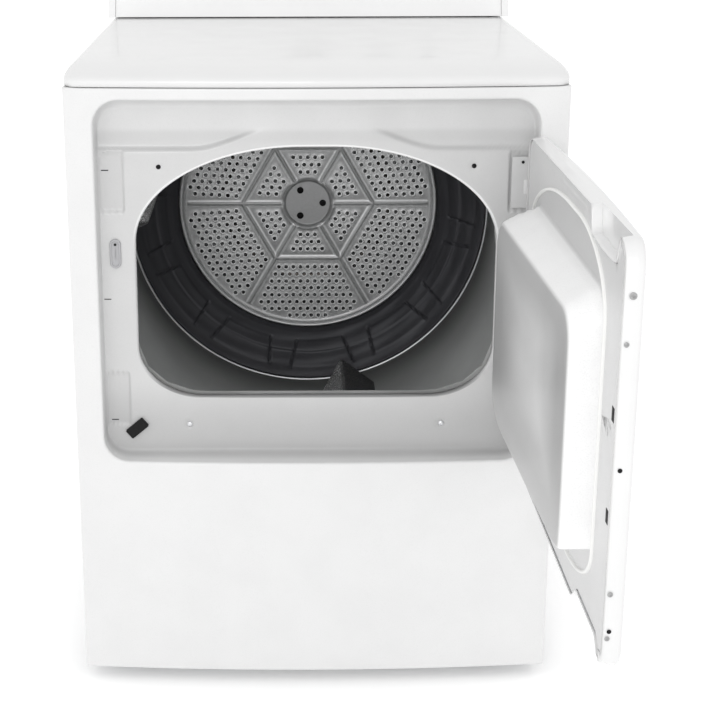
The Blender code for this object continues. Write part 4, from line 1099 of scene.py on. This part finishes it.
class DRYER_OT_door(bpy.types.Operator):
    """Door: crowned skin, inner panel with its tub and grips, seal, strike, hinges and screws"""

    bl_idname = "dryer.door"
    bl_label = "Door"

    def execute(self, context):
        piece("door_skin", swung(door_skin_surface()), "door", enamel(), ["door_outer_panel"], sheet=0.0008,
              toward=(1, 0, 0), sharp=60)
        liner = door_inner_surface()
        # Its tone paints light and shade on the land, the tub's wall and the tub's face.
        piece("door_liner", swung(liner), "door", pressed_enamel(), ["door_inner_panel"], sheet=0.0009,
              toward=(-1, 0, 0), sharp=60, tone=liner_painted_shading(liner[0]))
        dark = [door_screw(y, z, 0.0025) for y, z in ((0.0034, 0.5690), (0.0043, 0.3851))]
        piece("door_edge_screws_dark", joined(dark), "door", black_plastic())
        pale = [door_screw(y, z, r) for y, z, r in ((0.0010, 0.7560, 0.0040), (0.0048, 0.7050, 0.0028),
                                                    (0.0055, 0.4286, 0.0030), (0.0060, 0.3768, 0.0028))]
        piece("door_edge_screws_bright", joined(pale), "door", screw_zinc())
        land = FRONT + LAND
        # Black boxes stand for the painted shade inside the strike's slots in the liner.
        slots = [box_surface((-0.2650, land - 0.0030, z - 0.0080), (-0.2550, land + 0.0003, z + 0.0080))
                 for z in (0.6210, 0.5064)]
        piece("door_liner_slots", swung(joined(slots)), "door", black_plastic())
        tongue = [(0.0, 0.0), (0.0030, 0.0), (0.0030, 0.0060), (0.0022, 0.0085), (0.0, 0.0090)]
        strike = turned(tongue, 24, (-0.2600, land - 0.0160, 0.6210))
        piece("door_strike_pin", swung(strike), "door", bright_steel(), ["door_strike"])
        piece("door_seal_bead", swung(seal_surface()), "door", white_rubber(), ["door_seal"])
        for level in ("upper", "lower"):
            dress(f"{level}_hinge_body_leaf", pale_grey())
            dress(f"{level}_hinge_door_leaf", enamel())
        return {"FINISHED"}


# ---------------------------------------------------------------- catch and switch


def oval(cx, cz, rx, rz, depth, steps=72):
    """An upright slot-ended oval: two half circles joined by straight sides."""
    turn = np.linspace(0, 2 * math.pi, steps, endpoint=False)
    z = rx * np.sin(turn) + np.where(np.sin(turn) >= 0, rz - rx, rx - rz)
    return np.stack([cx + rx * np.cos(turn), np.full(steps, FRONT + depth), cz + z], 1)


class DRYER_OT_catch(bpy.types.Operator):
    """Door catch and door switch plunger on the recess floor"""

    bl_idname = "dryer.catch"
    bl_label = "Catch and switch"

    def execute(self, context):
        x, z = -0.2811, 0.63675
        rims = (
            (0.0077, 0.0210, 0.0217), (0.0077, 0.0210, 0.0200), (0.0070, 0.0202, 0.0191),
            (0.0056, 0.0188, 0.0190), (0.0050, 0.0180, 0.0196), (0.0048, 0.0178, 0.0206),
            (0.0030, 0.0140, 0.0207), (0.0001, 0.0040, 0.0207),
        )
        loops = [oval(x, z, *rim) for rim in rims]
        piece("catch_plate", grid(np.array(loops), around=True), "cabinet", grey_plastic(), ["door_catch"],
              toward=(0, -1, 0), sheet=0.0003)
        # A black disc stands for the painted shade inside the catch's hole.
        hole = [(0.0, 0.0), (0.0019, 0.0), (0.0019, -0.0006), (0.0, -0.0006)]
        piece("catch_holes", turned(hole, 20, (x, FRONT + 0.0203, z + 0.0132)), "cabinet", black_plastic())
        low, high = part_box("door_switch_lever")
        middle = ((low.x + high.x) / 2, (low.z + high.z) / 2)
        lean = math.radians(40)
        along = np.array([math.cos(lean), math.sin(lean)])
        across = np.array([-math.sin(lean), math.cos(lean)])
        loops = []
        rims = ((-0.0001, 0.0255), (0.0, 0.0250), (0.0, 0.0175), (-0.0012, 0.0166), (-0.0030, 0.0165))
        for grow, depth in rims:
            outline = rounded(-0.0155 - grow, 0.0155 + grow, -0.0078 - grow, 0.0078 + grow, 0.0016, 8)
            flat = outline[:, :1] * along + outline[:, 1:] * across + np.array(middle)
            loops.append(np.stack([flat[:, 0], np.full(len(flat), FRONT + depth), flat[:, 1]], 1))
        tip = np.repeat(loops[-1].mean(0)[None], len(loops[-1]), 0) + np.array([0, 0.0004, 0])
        end = np.repeat(loops[0].mean(0)[None], len(loops[0]), 0)
        surface = grid(np.array([end, *loops, tip]), around=True)
        piece("switch_plunger_tip", surface, "switch_plunger", black_plastic(), ["door_switch_lever"])
        dress("door_switch_body", black_plastic())
        return {"FINISHED"}


# ---------------------------------------------------------------- drum


def hole_centres():
    """The disc's holes in one of its six sectors, as (x, radius) with the sector's middle straight up."""
    spots = []
    for radius, count in (*INNER_ROWS, *OUTER_ROWS):
        across = (np.arange(count) - (count - 1) / 2) * HOLE_PITCH
        spots.append(np.stack([across, np.full(count, radius)], 1))
    return np.concatenate(spots)


def turned_flat(points, angle):
    """Flat points turned about their middle."""
    cos, sin = math.cos(angle), math.sin(angle)
    return points @ np.array([[cos, sin], [-sin, cos]])


def to_segment(points, start, end):
    """Distance of each point from a segment."""
    start, end = np.array(start), np.array(end)
    way = end - start
    share = np.clip(((points - start) @ way) / (way @ way), 0, 1)
    return np.hypot(*(points - start - share[:, None] * way).T)


def from_ribs(points):
    """Distance of each point from the nearest rib's centre line."""
    return np.min([to_segment(points, start, end) for start, end in rib_lines()], 0)


def from_holes(points, centres):
    """Distance of each point from the nearest hole's middle, a share of the points at a time."""
    shares = 16
    return np.concatenate([
        np.hypot(part[:, None, 0] - centres[:, 0], part[:, None, 1] - centres[:, 1]).min(1)
        for part in np.array_split(points, shares)
    ])


def rib_lines():
    """Centre lines of the six radial ribs and the hexagon between them."""
    lines = []
    vertex = HEX_RADIUS / math.cos(math.radians(30))
    for k in range(6):
        turn = math.radians(60 * k)
        out = np.array([math.cos(turn), math.sin(turn)])
        following = np.array([math.cos(turn + math.pi / 3), math.sin(turn + math.pi / 3)])
        lines.append((out * (HUB_RADIUS + 0.006), out * RIB_END))
        lines.append((out * vertex, following * vertex))
    return lines


def blotches(x, z):
    """Uneven stains from -1 to 1: the sum of forty waves whose direction and length come from a fixed seed."""
    random = np.random.default_rng(7)
    ranges = ((0.018, 0.080), (0, math.pi), (0, 6.28))
    lengths, turns, starts = (random.uniform(low, high, 40) for low, high in ranges)
    total = 0 * x
    for length, turn, start in zip(lengths, turns, starts):
        total = total + np.sin(2 * math.pi / length * (x * math.cos(turn) + z * math.sin(turn)) + start)
    return np.clip(total / 9, -1, 1)


def disc_depth(points):
    """Depth of the pressed disc at flat points about its middle.

    Ribs stand toward the door as rounded beads with a shallow trough along each side, the hub is a dished
    step, and the rim is a double roll.
    """
    radius = np.hypot(*points.T)
    near = from_ribs(points)
    bead = np.cos(np.clip(near / 0.0048, 0, 1) * math.pi / 2) ** 2
    trough = np.exp(-((near - 0.0070) / 0.0016) ** 2)
    fade = 1 - smooth(RIB_END - 0.001, RIB_END + 0.004, radius)
    depth = -0.0020 * bead * fade + 0.0002 * trough * fade
    depth += 0.0050 * (1 - smooth(HUB_RADIUS - 0.0035, HUB_RADIUS + 0.0015, radius))
    depth -= 0.0012 * np.exp(-((radius - HUB_RADIUS - 0.0035) / 0.0016) ** 2)
    depth -= 0.0022 * np.exp(-((radius - 0.2225) / 0.0019) ** 2)
    depth -= 0.0030 * smooth(0.2262, 0.2290, radius)
    return depth


def disc_surface():
    """The perforated disc: a triangulation of its outline, the holes' two rings each and points along its ribs.

    A hole's outer ring lies on the sheet and its inner ring stands proud, which is the punched lip.
    """
    hole_radius = size_of("hole_radius")
    sector = hole_centres()
    centres = np.concatenate([turned_flat(sector, math.radians(60 * k)) for k in range(6)])
    sides = 10
    turn = np.linspace(0, 2 * math.pi, sides, endpoint=False)
    ring = np.stack([np.cos(turn), np.sin(turn)], 1)
    hole = (centres[:, None] + ring * hole_radius).reshape(-1, 2)
    skirt = (centres[:, None] + ring * (hole_radius + 0.0014)).reshape(-1, 2)
    round_turn = np.linspace(0, 2 * math.pi, 300, endpoint=False)
    rim = np.stack([np.cos(round_turn), np.sin(round_turn)], 1)
    hub_radii = (0.0120, 0.0240, 0.0330, 0.0370, 0.0385, 0.0395, 0.0412, 0.0429, 0.0446, 0.0465, 0.0485)
    rim_radii = (0.2175, 0.2205, 0.2225, 0.2245, 0.2262, 0.2276, 0.2290)
    circles = np.concatenate([rim[::2] * r for r in hub_radii] + [rim * r for r in rim_radii])
    axis = np.arange(-0.2165, 0.2165, 0.0019)
    field = np.stack(np.meshgrid(axis, axis), -1).reshape(-1, 2)
    radius = np.hypot(*field.T)
    field = field[(from_ribs(field) < 0.0092) & (radius < 0.2165) & (radius > 0.050)]
    field = field[from_holes(field, centres) > hole_radius + 0.0022]
    edge = rim * DISC_RADIUS
    flat = np.concatenate([hole, skirt, circles, field, edge])
    count = len(centres)
    loops = [(k * sides + i, k * sides + (i + 1) % sides) for k in range(2 * count) for i in range(sides)]
    first = len(flat) - len(edge)
    loops += [(first + i, first + (i + 1) % len(edge)) for i in range(len(edge))]
    points, _, faces, *_ = geometry.delaunay_2d_cdt([Vector(p) for p in flat], loops, [], 1, 1e-7)
    points = np.array([tuple(p) for p in points])
    faces = np.array(faces)
    faces = faces[from_holes(points[faces].mean(1), centres) >= hole_radius * 0.97]
    away = from_holes(points, centres)
    depth = disc_depth(points) - 0.0006 * (away < hole_radius + 0.0004)
    near = from_ribs(points)
    radius = np.hypot(*points.T)
    # Painted highlights: the hole lips and the sheet round them, the edges of the rib beads, the hub's rim and
    # the disc's rim are lit up in the tone.
    tone = (0.54 + 1.50 * (away < hole_radius + 0.0004) + 0.30 * (away < hole_radius + 0.0020)
            + 0.70 * np.exp(-((near - 0.0046) / 0.0016) ** 2) * (radius < RIB_END + 0.002)
            + 0.35 * np.exp(-((radius - HUB_RADIUS - 0.0015) / 0.0016) ** 2)
            + 0.25 * smooth(0.2170, 0.2200, radius))
    return np.stack([points[:, 0], FRONT + DISC_DEPTH + depth, DRUM_Z + points[:, 1]], 1), faces, tone


def cone_surface():
    """The dark rear wall: a cone from the ring in to the disc, pressed with twelve raised wedges.

    With share t from 0 at the ring to 1 at the disc, a wedge is raised between t 0.22 and 0.74 over 20 of
    every 30 degrees, with its sides leaning 3 degrees outward, and a step runs round at t 0.52.
    """
    turn = np.linspace(0, 2 * math.pi, 720, endpoint=False)[None, :]
    share = np.linspace(0, 1, 60)[:, None]
    degrees = (np.degrees(turn) + 90.0 - 5.0) % 30.0
    off = np.abs(np.where(degrees > 15, degrees - 30, degrees))
    half_span = 10.3 + 3.0 * (0.5 - share)
    wedge = (1 - smooth(half_span - 0.4, half_span + 0.4, off)) * smooth(0.18, 0.25, share)
    wedge = wedge * (1 - smooth(0.70, 0.76, share))
    step = smooth(0.49, 0.55, share)
    radius = DRUM_RADIUS - 0.006 + (DISC_RADIUS + 0.002 - DRUM_RADIUS + 0.006) * share
    ripple = 0.0007 * np.sin(7 * turn + 9 * share) * np.sin(11 * turn - 17 * share)
    crease = np.exp(-((off - half_span) / 0.40) ** 2)
    crease = crease * smooth(0.16, 0.22, share) * (1 - smooth(0.72, 0.78, share))
    depth = (RING_DEPTH - 0.001 + (DISC_DEPTH - 0.0035 - RING_DEPTH) * share - 0.0010 * wedge - 0.0020 * step
             + 0.0024 * crease + ripple)
    points = np.stack([radius * np.cos(turn), FRONT + depth + 0.0030 * smooth(0.9, 1.0, share),
                       DRUM_Z + radius * np.sin(turn)], -1)
    stains = blotches(points[..., 0], points[..., 2])
    # The stains are the coating's own; the raised wedges outside the step carry painted light, and the wedges'
    # creases painted shade.
    tone = (1.10 + 0.40 * wedge * (1 - step)) * (1 + stains) - 0.75 * crease
    return *grid(points, around=True), tone


def baffle_surface(angle):
    """A lifter: across it a rounded ridge, along it a swell that rises at the front and drops at the back."""
    front, rear = BAFFLE_REACH
    share = np.linspace(0, 1, 90)[:, None]
    swell = np.minimum(1.0, 0.35 + 4.2 * share) * np.minimum(1.0, 0.10 + 7.5 * (1 - share)) ** 0.6
    across = np.linspace(-1, 1, 60)[None, :]
    rise = 1 - np.sqrt(np.abs(across) ** 2 + 0.006) + math.sqrt(0.006) * (1 - np.abs(across))
    side = across * (0.020 + 0.028 * swell)
    radius = np.sqrt((DRUM_RADIUS - 0.0008) ** 2 - side ** 2) - rise * size_of("baffle_height") * swell
    y = np.repeat(FRONT + front + (rear - front) * share, across.shape[1], 1)
    x = radius * math.sin(angle) + side * math.cos(angle)
    z = DRUM_Z - radius * math.cos(angle) + side * math.sin(angle)
    points = np.stack([x, y, z], -1)
    foot = DRUM_RADIUS - 0.0008
    start = np.array([foot * math.sin(angle), FRONT + front, DRUM_Z - foot * math.cos(angle)])
    end = start + np.array([0, rear - front, 0])
    first = np.repeat(start[None], points.shape[1], 0)[None]
    last = np.repeat(end[None], points.shape[1], 0)[None]
    return grid(np.concatenate([first, points, last]))


class DRYER_OT_drum(bpy.types.Operator):
    """Drum wall, rear cone, perforated disc, hub screws and baffles"""

    bl_idname = "dryer.drum"
    bl_label = "Drum"

    def execute(self, context):
        spin = (0, FRONT, DRUM_Z)
        wall = [
            (0.3045, 0.0620), (0.3100, 0.0618), (0.3160, 0.0624), (0.3178, 0.0640), (DRUM_RADIUS, 0.0680),
            (DRUM_RADIUS, 0.0900), (0.3172, 0.0930), (0.3172, 0.0970), (DRUM_RADIUS, 0.1000),
            *((DRUM_RADIUS, y) for y in np.linspace(0.13, 0.579, 40)),
        ]
        surface = turned(wall, 360, spin)
        depth = surface[0][:, 1] - FRONT
        # Painted light and shade: the wall is lit near the front and darkens deeper into the drum.
        piece("drum_wall", surface, "drum", wall_coat(), ["drum_shell"], sheet=0.0010,
              tone=1.30 - 0.55 * smooth(0.30, 0.50, depth) - 0.45 * smooth(0.45, 0.572, depth))
        *surface, tone = cone_surface()
        piece("drum_cone", surface, "drum", dark_coat(), ["drum_rear_wall"], sheet=0.0008, toward=(0, -1, 0),
              sharp=25, tone=tone)
        ring = [
            (0.3176, 0.5700), (0.3170, 0.5686), (0.3156, 0.5680), (0.3142, 0.5686), (0.3136, 0.5700),
            (0.3142, 0.5714), (0.3156, 0.5720), (0.3170, 0.5714),
        ]
        piece("drum_ring", turned(ring + ring[:1], 360, spin), "drum", bright_steel())
        *surface, tone = disc_surface()
        piece("drum_disc", surface, "drum", disc_zinc(), ["perforated_disc"], sheet=0.0008, toward=(0, -1, 0),
              weld=False, sharp=50, tone=tone)
        rolled = [
            (0.2310, 0.6225), (0.2302, 0.6208), (0.2286, 0.6202), (0.2270, 0.6208), (0.2262, 0.6225),
            (0.2270, 0.6240), (0.2302, 0.6240),
        ]
        piece("disc_rim", turned(rolled + rolled[:1], 300, spin), "drum", zinc())
        for k in range(3):
            low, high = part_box(f"hub_screw_{k + 1}")
            x, z = (low.x + high.x) / 2, (low.z + high.z) / 2
            head = screw_surface(x, z, DISC_DEPTH + 0.0040, 0.0060)
            piece(f"hub_screw_head_{k + 1}", head, "drum", black_plastic(), [f"hub_screw_{k + 1}"])
        for k, turn in enumerate(np.radians(BAFFLE_ANGLES)):
            surface = baffle_surface(turn)
            sideways = surface[0][:, 0] * math.cos(turn) + (surface[0][:, 2] - DRUM_Z) * math.sin(turn)
            # Painted light: one side of each lifter is lit up to six times lighter than the other in its tone.
            piece(f"lifter_{k + 1}", surface, "drum", baffle_plastic(), [f"baffle_{k + 1}"], sharp=70,
                  tone=0.9 + 5.0 * smooth(-0.001, -0.005, sideways))
        dress("drum_shaft", bright_steel())
        return {"FINISHED"}


# ---------------------------------------------------------------- hidden works


class DRYER_OT_works(bpy.types.Operator):
    """Finishes of the bulkhead, lint path, heater, blower, motor and belt"""

    bl_idname = "dryer.works"
    bl_label = "Works"

    def execute(self, context):
        finishes = {
            sheet_zinc: ("lint_duct", "heater_housing", "blower_housing", "exhaust_duct", "motor_mount",
                         "idler_bracket"),
            drum_coat: ("front_bulkhead",),
            felt: ("front_felt_seal",),
            pale_plastic: ("drum_glide_left", "drum_glide_right", "idler_pulley"),
            grey_plastic: ("lint_filter", "blower_wheel"),
            bronze: ("rear_bearing",),
            heater_metal: ("heater_element",),
            motor_paint: ("motor_body",),
            bright_steel: ("motor_shaft", "idler_arm"),
            belt_rubber: ("drive_belt",),
        }
        for finish, names in finishes.items():
            for name in names:
                dress(name, finish())
        return {"FINISHED"}


# ---------------------------------------------------------------- stage


def camera_place():
    """The camera's matrix: it looks along +Y turned by the yaw, then down by the pitch, and is rolled last."""
    sin_yaw, cos_yaw = math.sin(CAMERA_YAW), math.cos(CAMERA_YAW)
    sin_pitch, cos_pitch = math.sin(CAMERA_PITCH), math.cos(CAMERA_PITCH)
    sin_roll, cos_roll = math.sin(CAMERA_ROLL), math.cos(CAMERA_ROLL)
    ahead = Vector((sin_yaw * cos_pitch, cos_yaw * cos_pitch, -sin_pitch))
    right = Vector((cos_yaw, -sin_yaw, 0))
    down = ahead.cross(right)
    level = right * cos_roll + down * sin_roll
    plumb = -right * sin_roll + down * cos_roll
    turn = Matrix((level, -plumb, -ahead)).transposed()
    return Matrix.Translation(CAMERA_AT) @ turn.to_4x4()


class DRYER_OT_stage(bpy.types.Operator):
    """Pale floor, soft studio light and the camera"""

    bl_idname = "dryer.stage"
    bl_label = "Stage"

    def execute(self, context):
        scene = context.scene
        settings = scene.dryer_stage
        size, height = 14.0, -0.0205
        floor = bpy.data.meshes.new("floor")
        floor.from_pydata([(x * size, y * size, height) for x, y in ((-1, -1), (1, -1), (1, 1), (-1, 1))], [],
                          [(0, 1, 2, 3)])
        ground = bpy.data.objects.new("floor", floor)
        scene.collection.objects.link(ground)
        paint = bpy.data.materials.new("pale_floor")
        paint.use_nodes = True
        shader = paint.node_tree.nodes["Principled BSDF"]
        shader.inputs["Base Color"].default_value = (*settings.floor, 1)
        shader.inputs["Roughness"].default_value = 0.9
        shader.inputs["Specular IOR Level"].default_value = 0.1
        shader.inputs["Emission Color"].default_value = (1, 1, 1, 1)
        shader.inputs["Emission Strength"].default_value = settings.glow
        floor.materials.append(paint)

        world = scene.world or bpy.data.worlds.new("studio")
        scene.world = world
        world.use_nodes = True
        back = world.node_tree.nodes["Background"]
        back.inputs["Color"].default_value = (1, 1, 1, 1)
        back.inputs["Strength"].default_value = settings.ambient
        for name, at, aim, width, height, power in (
            ("front_softbox", (-0.35, -2.9, 1.35), (0.0, 0.2, 0.52), 0.9, 0.7, settings.front),
            ("top_softbox", (0.2, -0.6, 3.4), (0.0, 0.0, 0.6), 3.0, 2.6, settings.top),
            ("left_softbox", (-3.4, -1.2, 1.2), (0.0, 0.0, 0.5), 2.0, 2.2, settings.side),
        ):
            lamp = bpy.data.lights.new(name, "AREA")
            lamp.shape = "RECTANGLE"
            lamp.size, lamp.size_y = width, height
            lamp.energy = power
            holder = bpy.data.objects.new(name, lamp)
            holder.location = at
            holder.rotation_euler = (Vector(aim) - Vector(at)).to_track_quat("-Z", "Y").to_euler()
            scene.collection.objects.link(holder)

        camera = bpy.data.cameras.new("view")
        camera.sensor_width = 36.0
        camera.lens = CAMERA_LENS
        camera.shift_x, camera.shift_y = CAMERA_SHIFT
        camera.clip_end = 100.0
        holder = bpy.data.objects.new("view", camera)
        holder.matrix_world = camera_place()
        scene.collection.objects.link(holder)
        scene.camera = holder
        scene.view_settings.view_transform = "Standard"
        scene.view_settings.look = "None"
        return {"FINISHED"}


# ---------------------------------------------------------------- add-on


class DRYER_PG_finish(bpy.types.PropertyGroup):
    """Colours of the dryer"""

    enamel: bpy.props.FloatVectorProperty(
        name="Enamel", description="Colour of the cabinet and door", subtype="COLOR", size=3, min=0, max=1,
        default=(0.73, 0.73, 0.73),
    )
    knobs: bpy.props.FloatVectorProperty(
        name="Knobs", description="Colour of the knobs and the console's ends", subtype="COLOR", size=3, min=0,
        max=1, default=(0.78, 0.78, 0.77),
    )
    drum: bpy.props.FloatVectorProperty(
        name="Drum", description="Colour of the drum wall's coating", subtype="COLOR", size=3, min=0, max=1,
        default=(0.54, 0.55, 0.545),
    )


class DRYER_PG_sizes(bpy.types.PropertyGroup):
    """Sizes of the dryer's smaller features"""

    hole_radius: bpy.props.FloatProperty(
        name="Hole radius", description="Radius of the holes in the drum's disc", default=0.0038, min=0.0020,
        max=0.0045, precision=4, unit="LENGTH",
    )
    baffle_height: bpy.props.FloatProperty(
        name="Baffle height", description="How far a baffle stands off the drum wall", default=0.058, min=0.02,
        max=0.08, precision=3, unit="LENGTH",
    )
    seal_width: bpy.props.FloatProperty(
        name="Seal width", description="Width of the door seal's bead", default=0.0048, min=0.002, max=0.010,
        precision=4, unit="LENGTH",
    )
    seal_height: bpy.props.FloatProperty(
        name="Seal height", description="How far the door seal's bead stands proud", default=0.0036, min=0.001,
        max=0.006, precision=4, unit="LENGTH",
    )


class DRYER_PG_stage(bpy.types.PropertyGroup):
    """Floor and lights"""

    floor: bpy.props.FloatVectorProperty(
        name="Floor", description="Colour of the floor", subtype="COLOR", size=3, min=0, max=1,
        default=(0.97, 0.97, 0.97),
    )
    glow: bpy.props.FloatProperty(
        name="Floor glow", description="Light given off by the floor, so that it stays white", default=0.16,
        min=0, soft_max=2,
    )
    ambient: bpy.props.FloatProperty(
        name="Ambient", description="Strength of the even light from all round", default=1.0, min=0, soft_max=3,
    )
    front: bpy.props.FloatProperty(
        name="Front light", description="Power of the soft light above the camera", default=13.0, min=0,
        unit="POWER",
    )
    top: bpy.props.FloatProperty(
        name="Top light", description="Power of the soft light overhead", default=2.0, min=0, unit="POWER",
    )
    side: bpy.props.FloatProperty(
        name="Side light", description="Power of the soft light on the left", default=2.0, min=0, unit="POWER",
    )


OPERATORS = (
    DRYER_OT_front_panel, DRYER_OT_cabinet, DRYER_OT_console, DRYER_OT_door, DRYER_OT_catch, DRYER_OT_drum,
    DRYER_OT_works, DRYER_OT_stage,
)


class DRYER_PT_panel(bpy.types.Panel):
    """Lists the dryer's settings and the steps that build it"""

    bl_idname = "DRYER_PT_panel"
    bl_label = "Clothes dryer"
    bl_space_type = "VIEW_3D"
    bl_region_type = "UI"
    bl_category = "Dryer"

    def draw(self, context):
        scene = context.scene
        for group in (scene.dryer_sizes, scene.dryer_finish, scene.dryer_stage):
            for key in group.bl_rna.properties.keys():
                if key not in ("rna_type", "name"):
                    self.layout.prop(group, key)
        for operator in OPERATORS:
            self.layout.operator(operator.bl_idname)


CLASSES = (DRYER_PG_sizes, DRYER_PG_finish, DRYER_PG_stage, *OPERATORS, DRYER_PT_panel)


def register():
    """Add the settings, the operators and the panel."""
    for one in CLASSES:
        bpy.utils.register_class(one)
    bpy.types.Scene.dryer_sizes = bpy.props.PointerProperty(type=DRYER_PG_sizes)
    bpy.types.Scene.dryer_finish = bpy.props.PointerProperty(type=DRYER_PG_finish)
    bpy.types.Scene.dryer_stage = bpy.props.PointerProperty(type=DRYER_PG_stage)


def unregister():
    """Take the settings, the operators and the panel away."""
    del bpy.types.Scene.dryer_sizes
    del bpy.types.Scene.dryer_finish
    del bpy.types.Scene.dryer_stage
    for one in reversed(CLASSES):
        bpy.utils.unregister_class(one)


def main():
    """Make every piece and the stage."""
    register()
    bpy.ops.dryer.front_panel()
    bpy.ops.dryer.cabinet()
    bpy.ops.dryer.console()
    bpy.ops.dryer.door()
    bpy.ops.dryer.catch()
    bpy.ops.dryer.drum()
    bpy.ops.dryer.works()
    bpy.ops.dryer.stage()


if __name__ == "__main__":
    main()
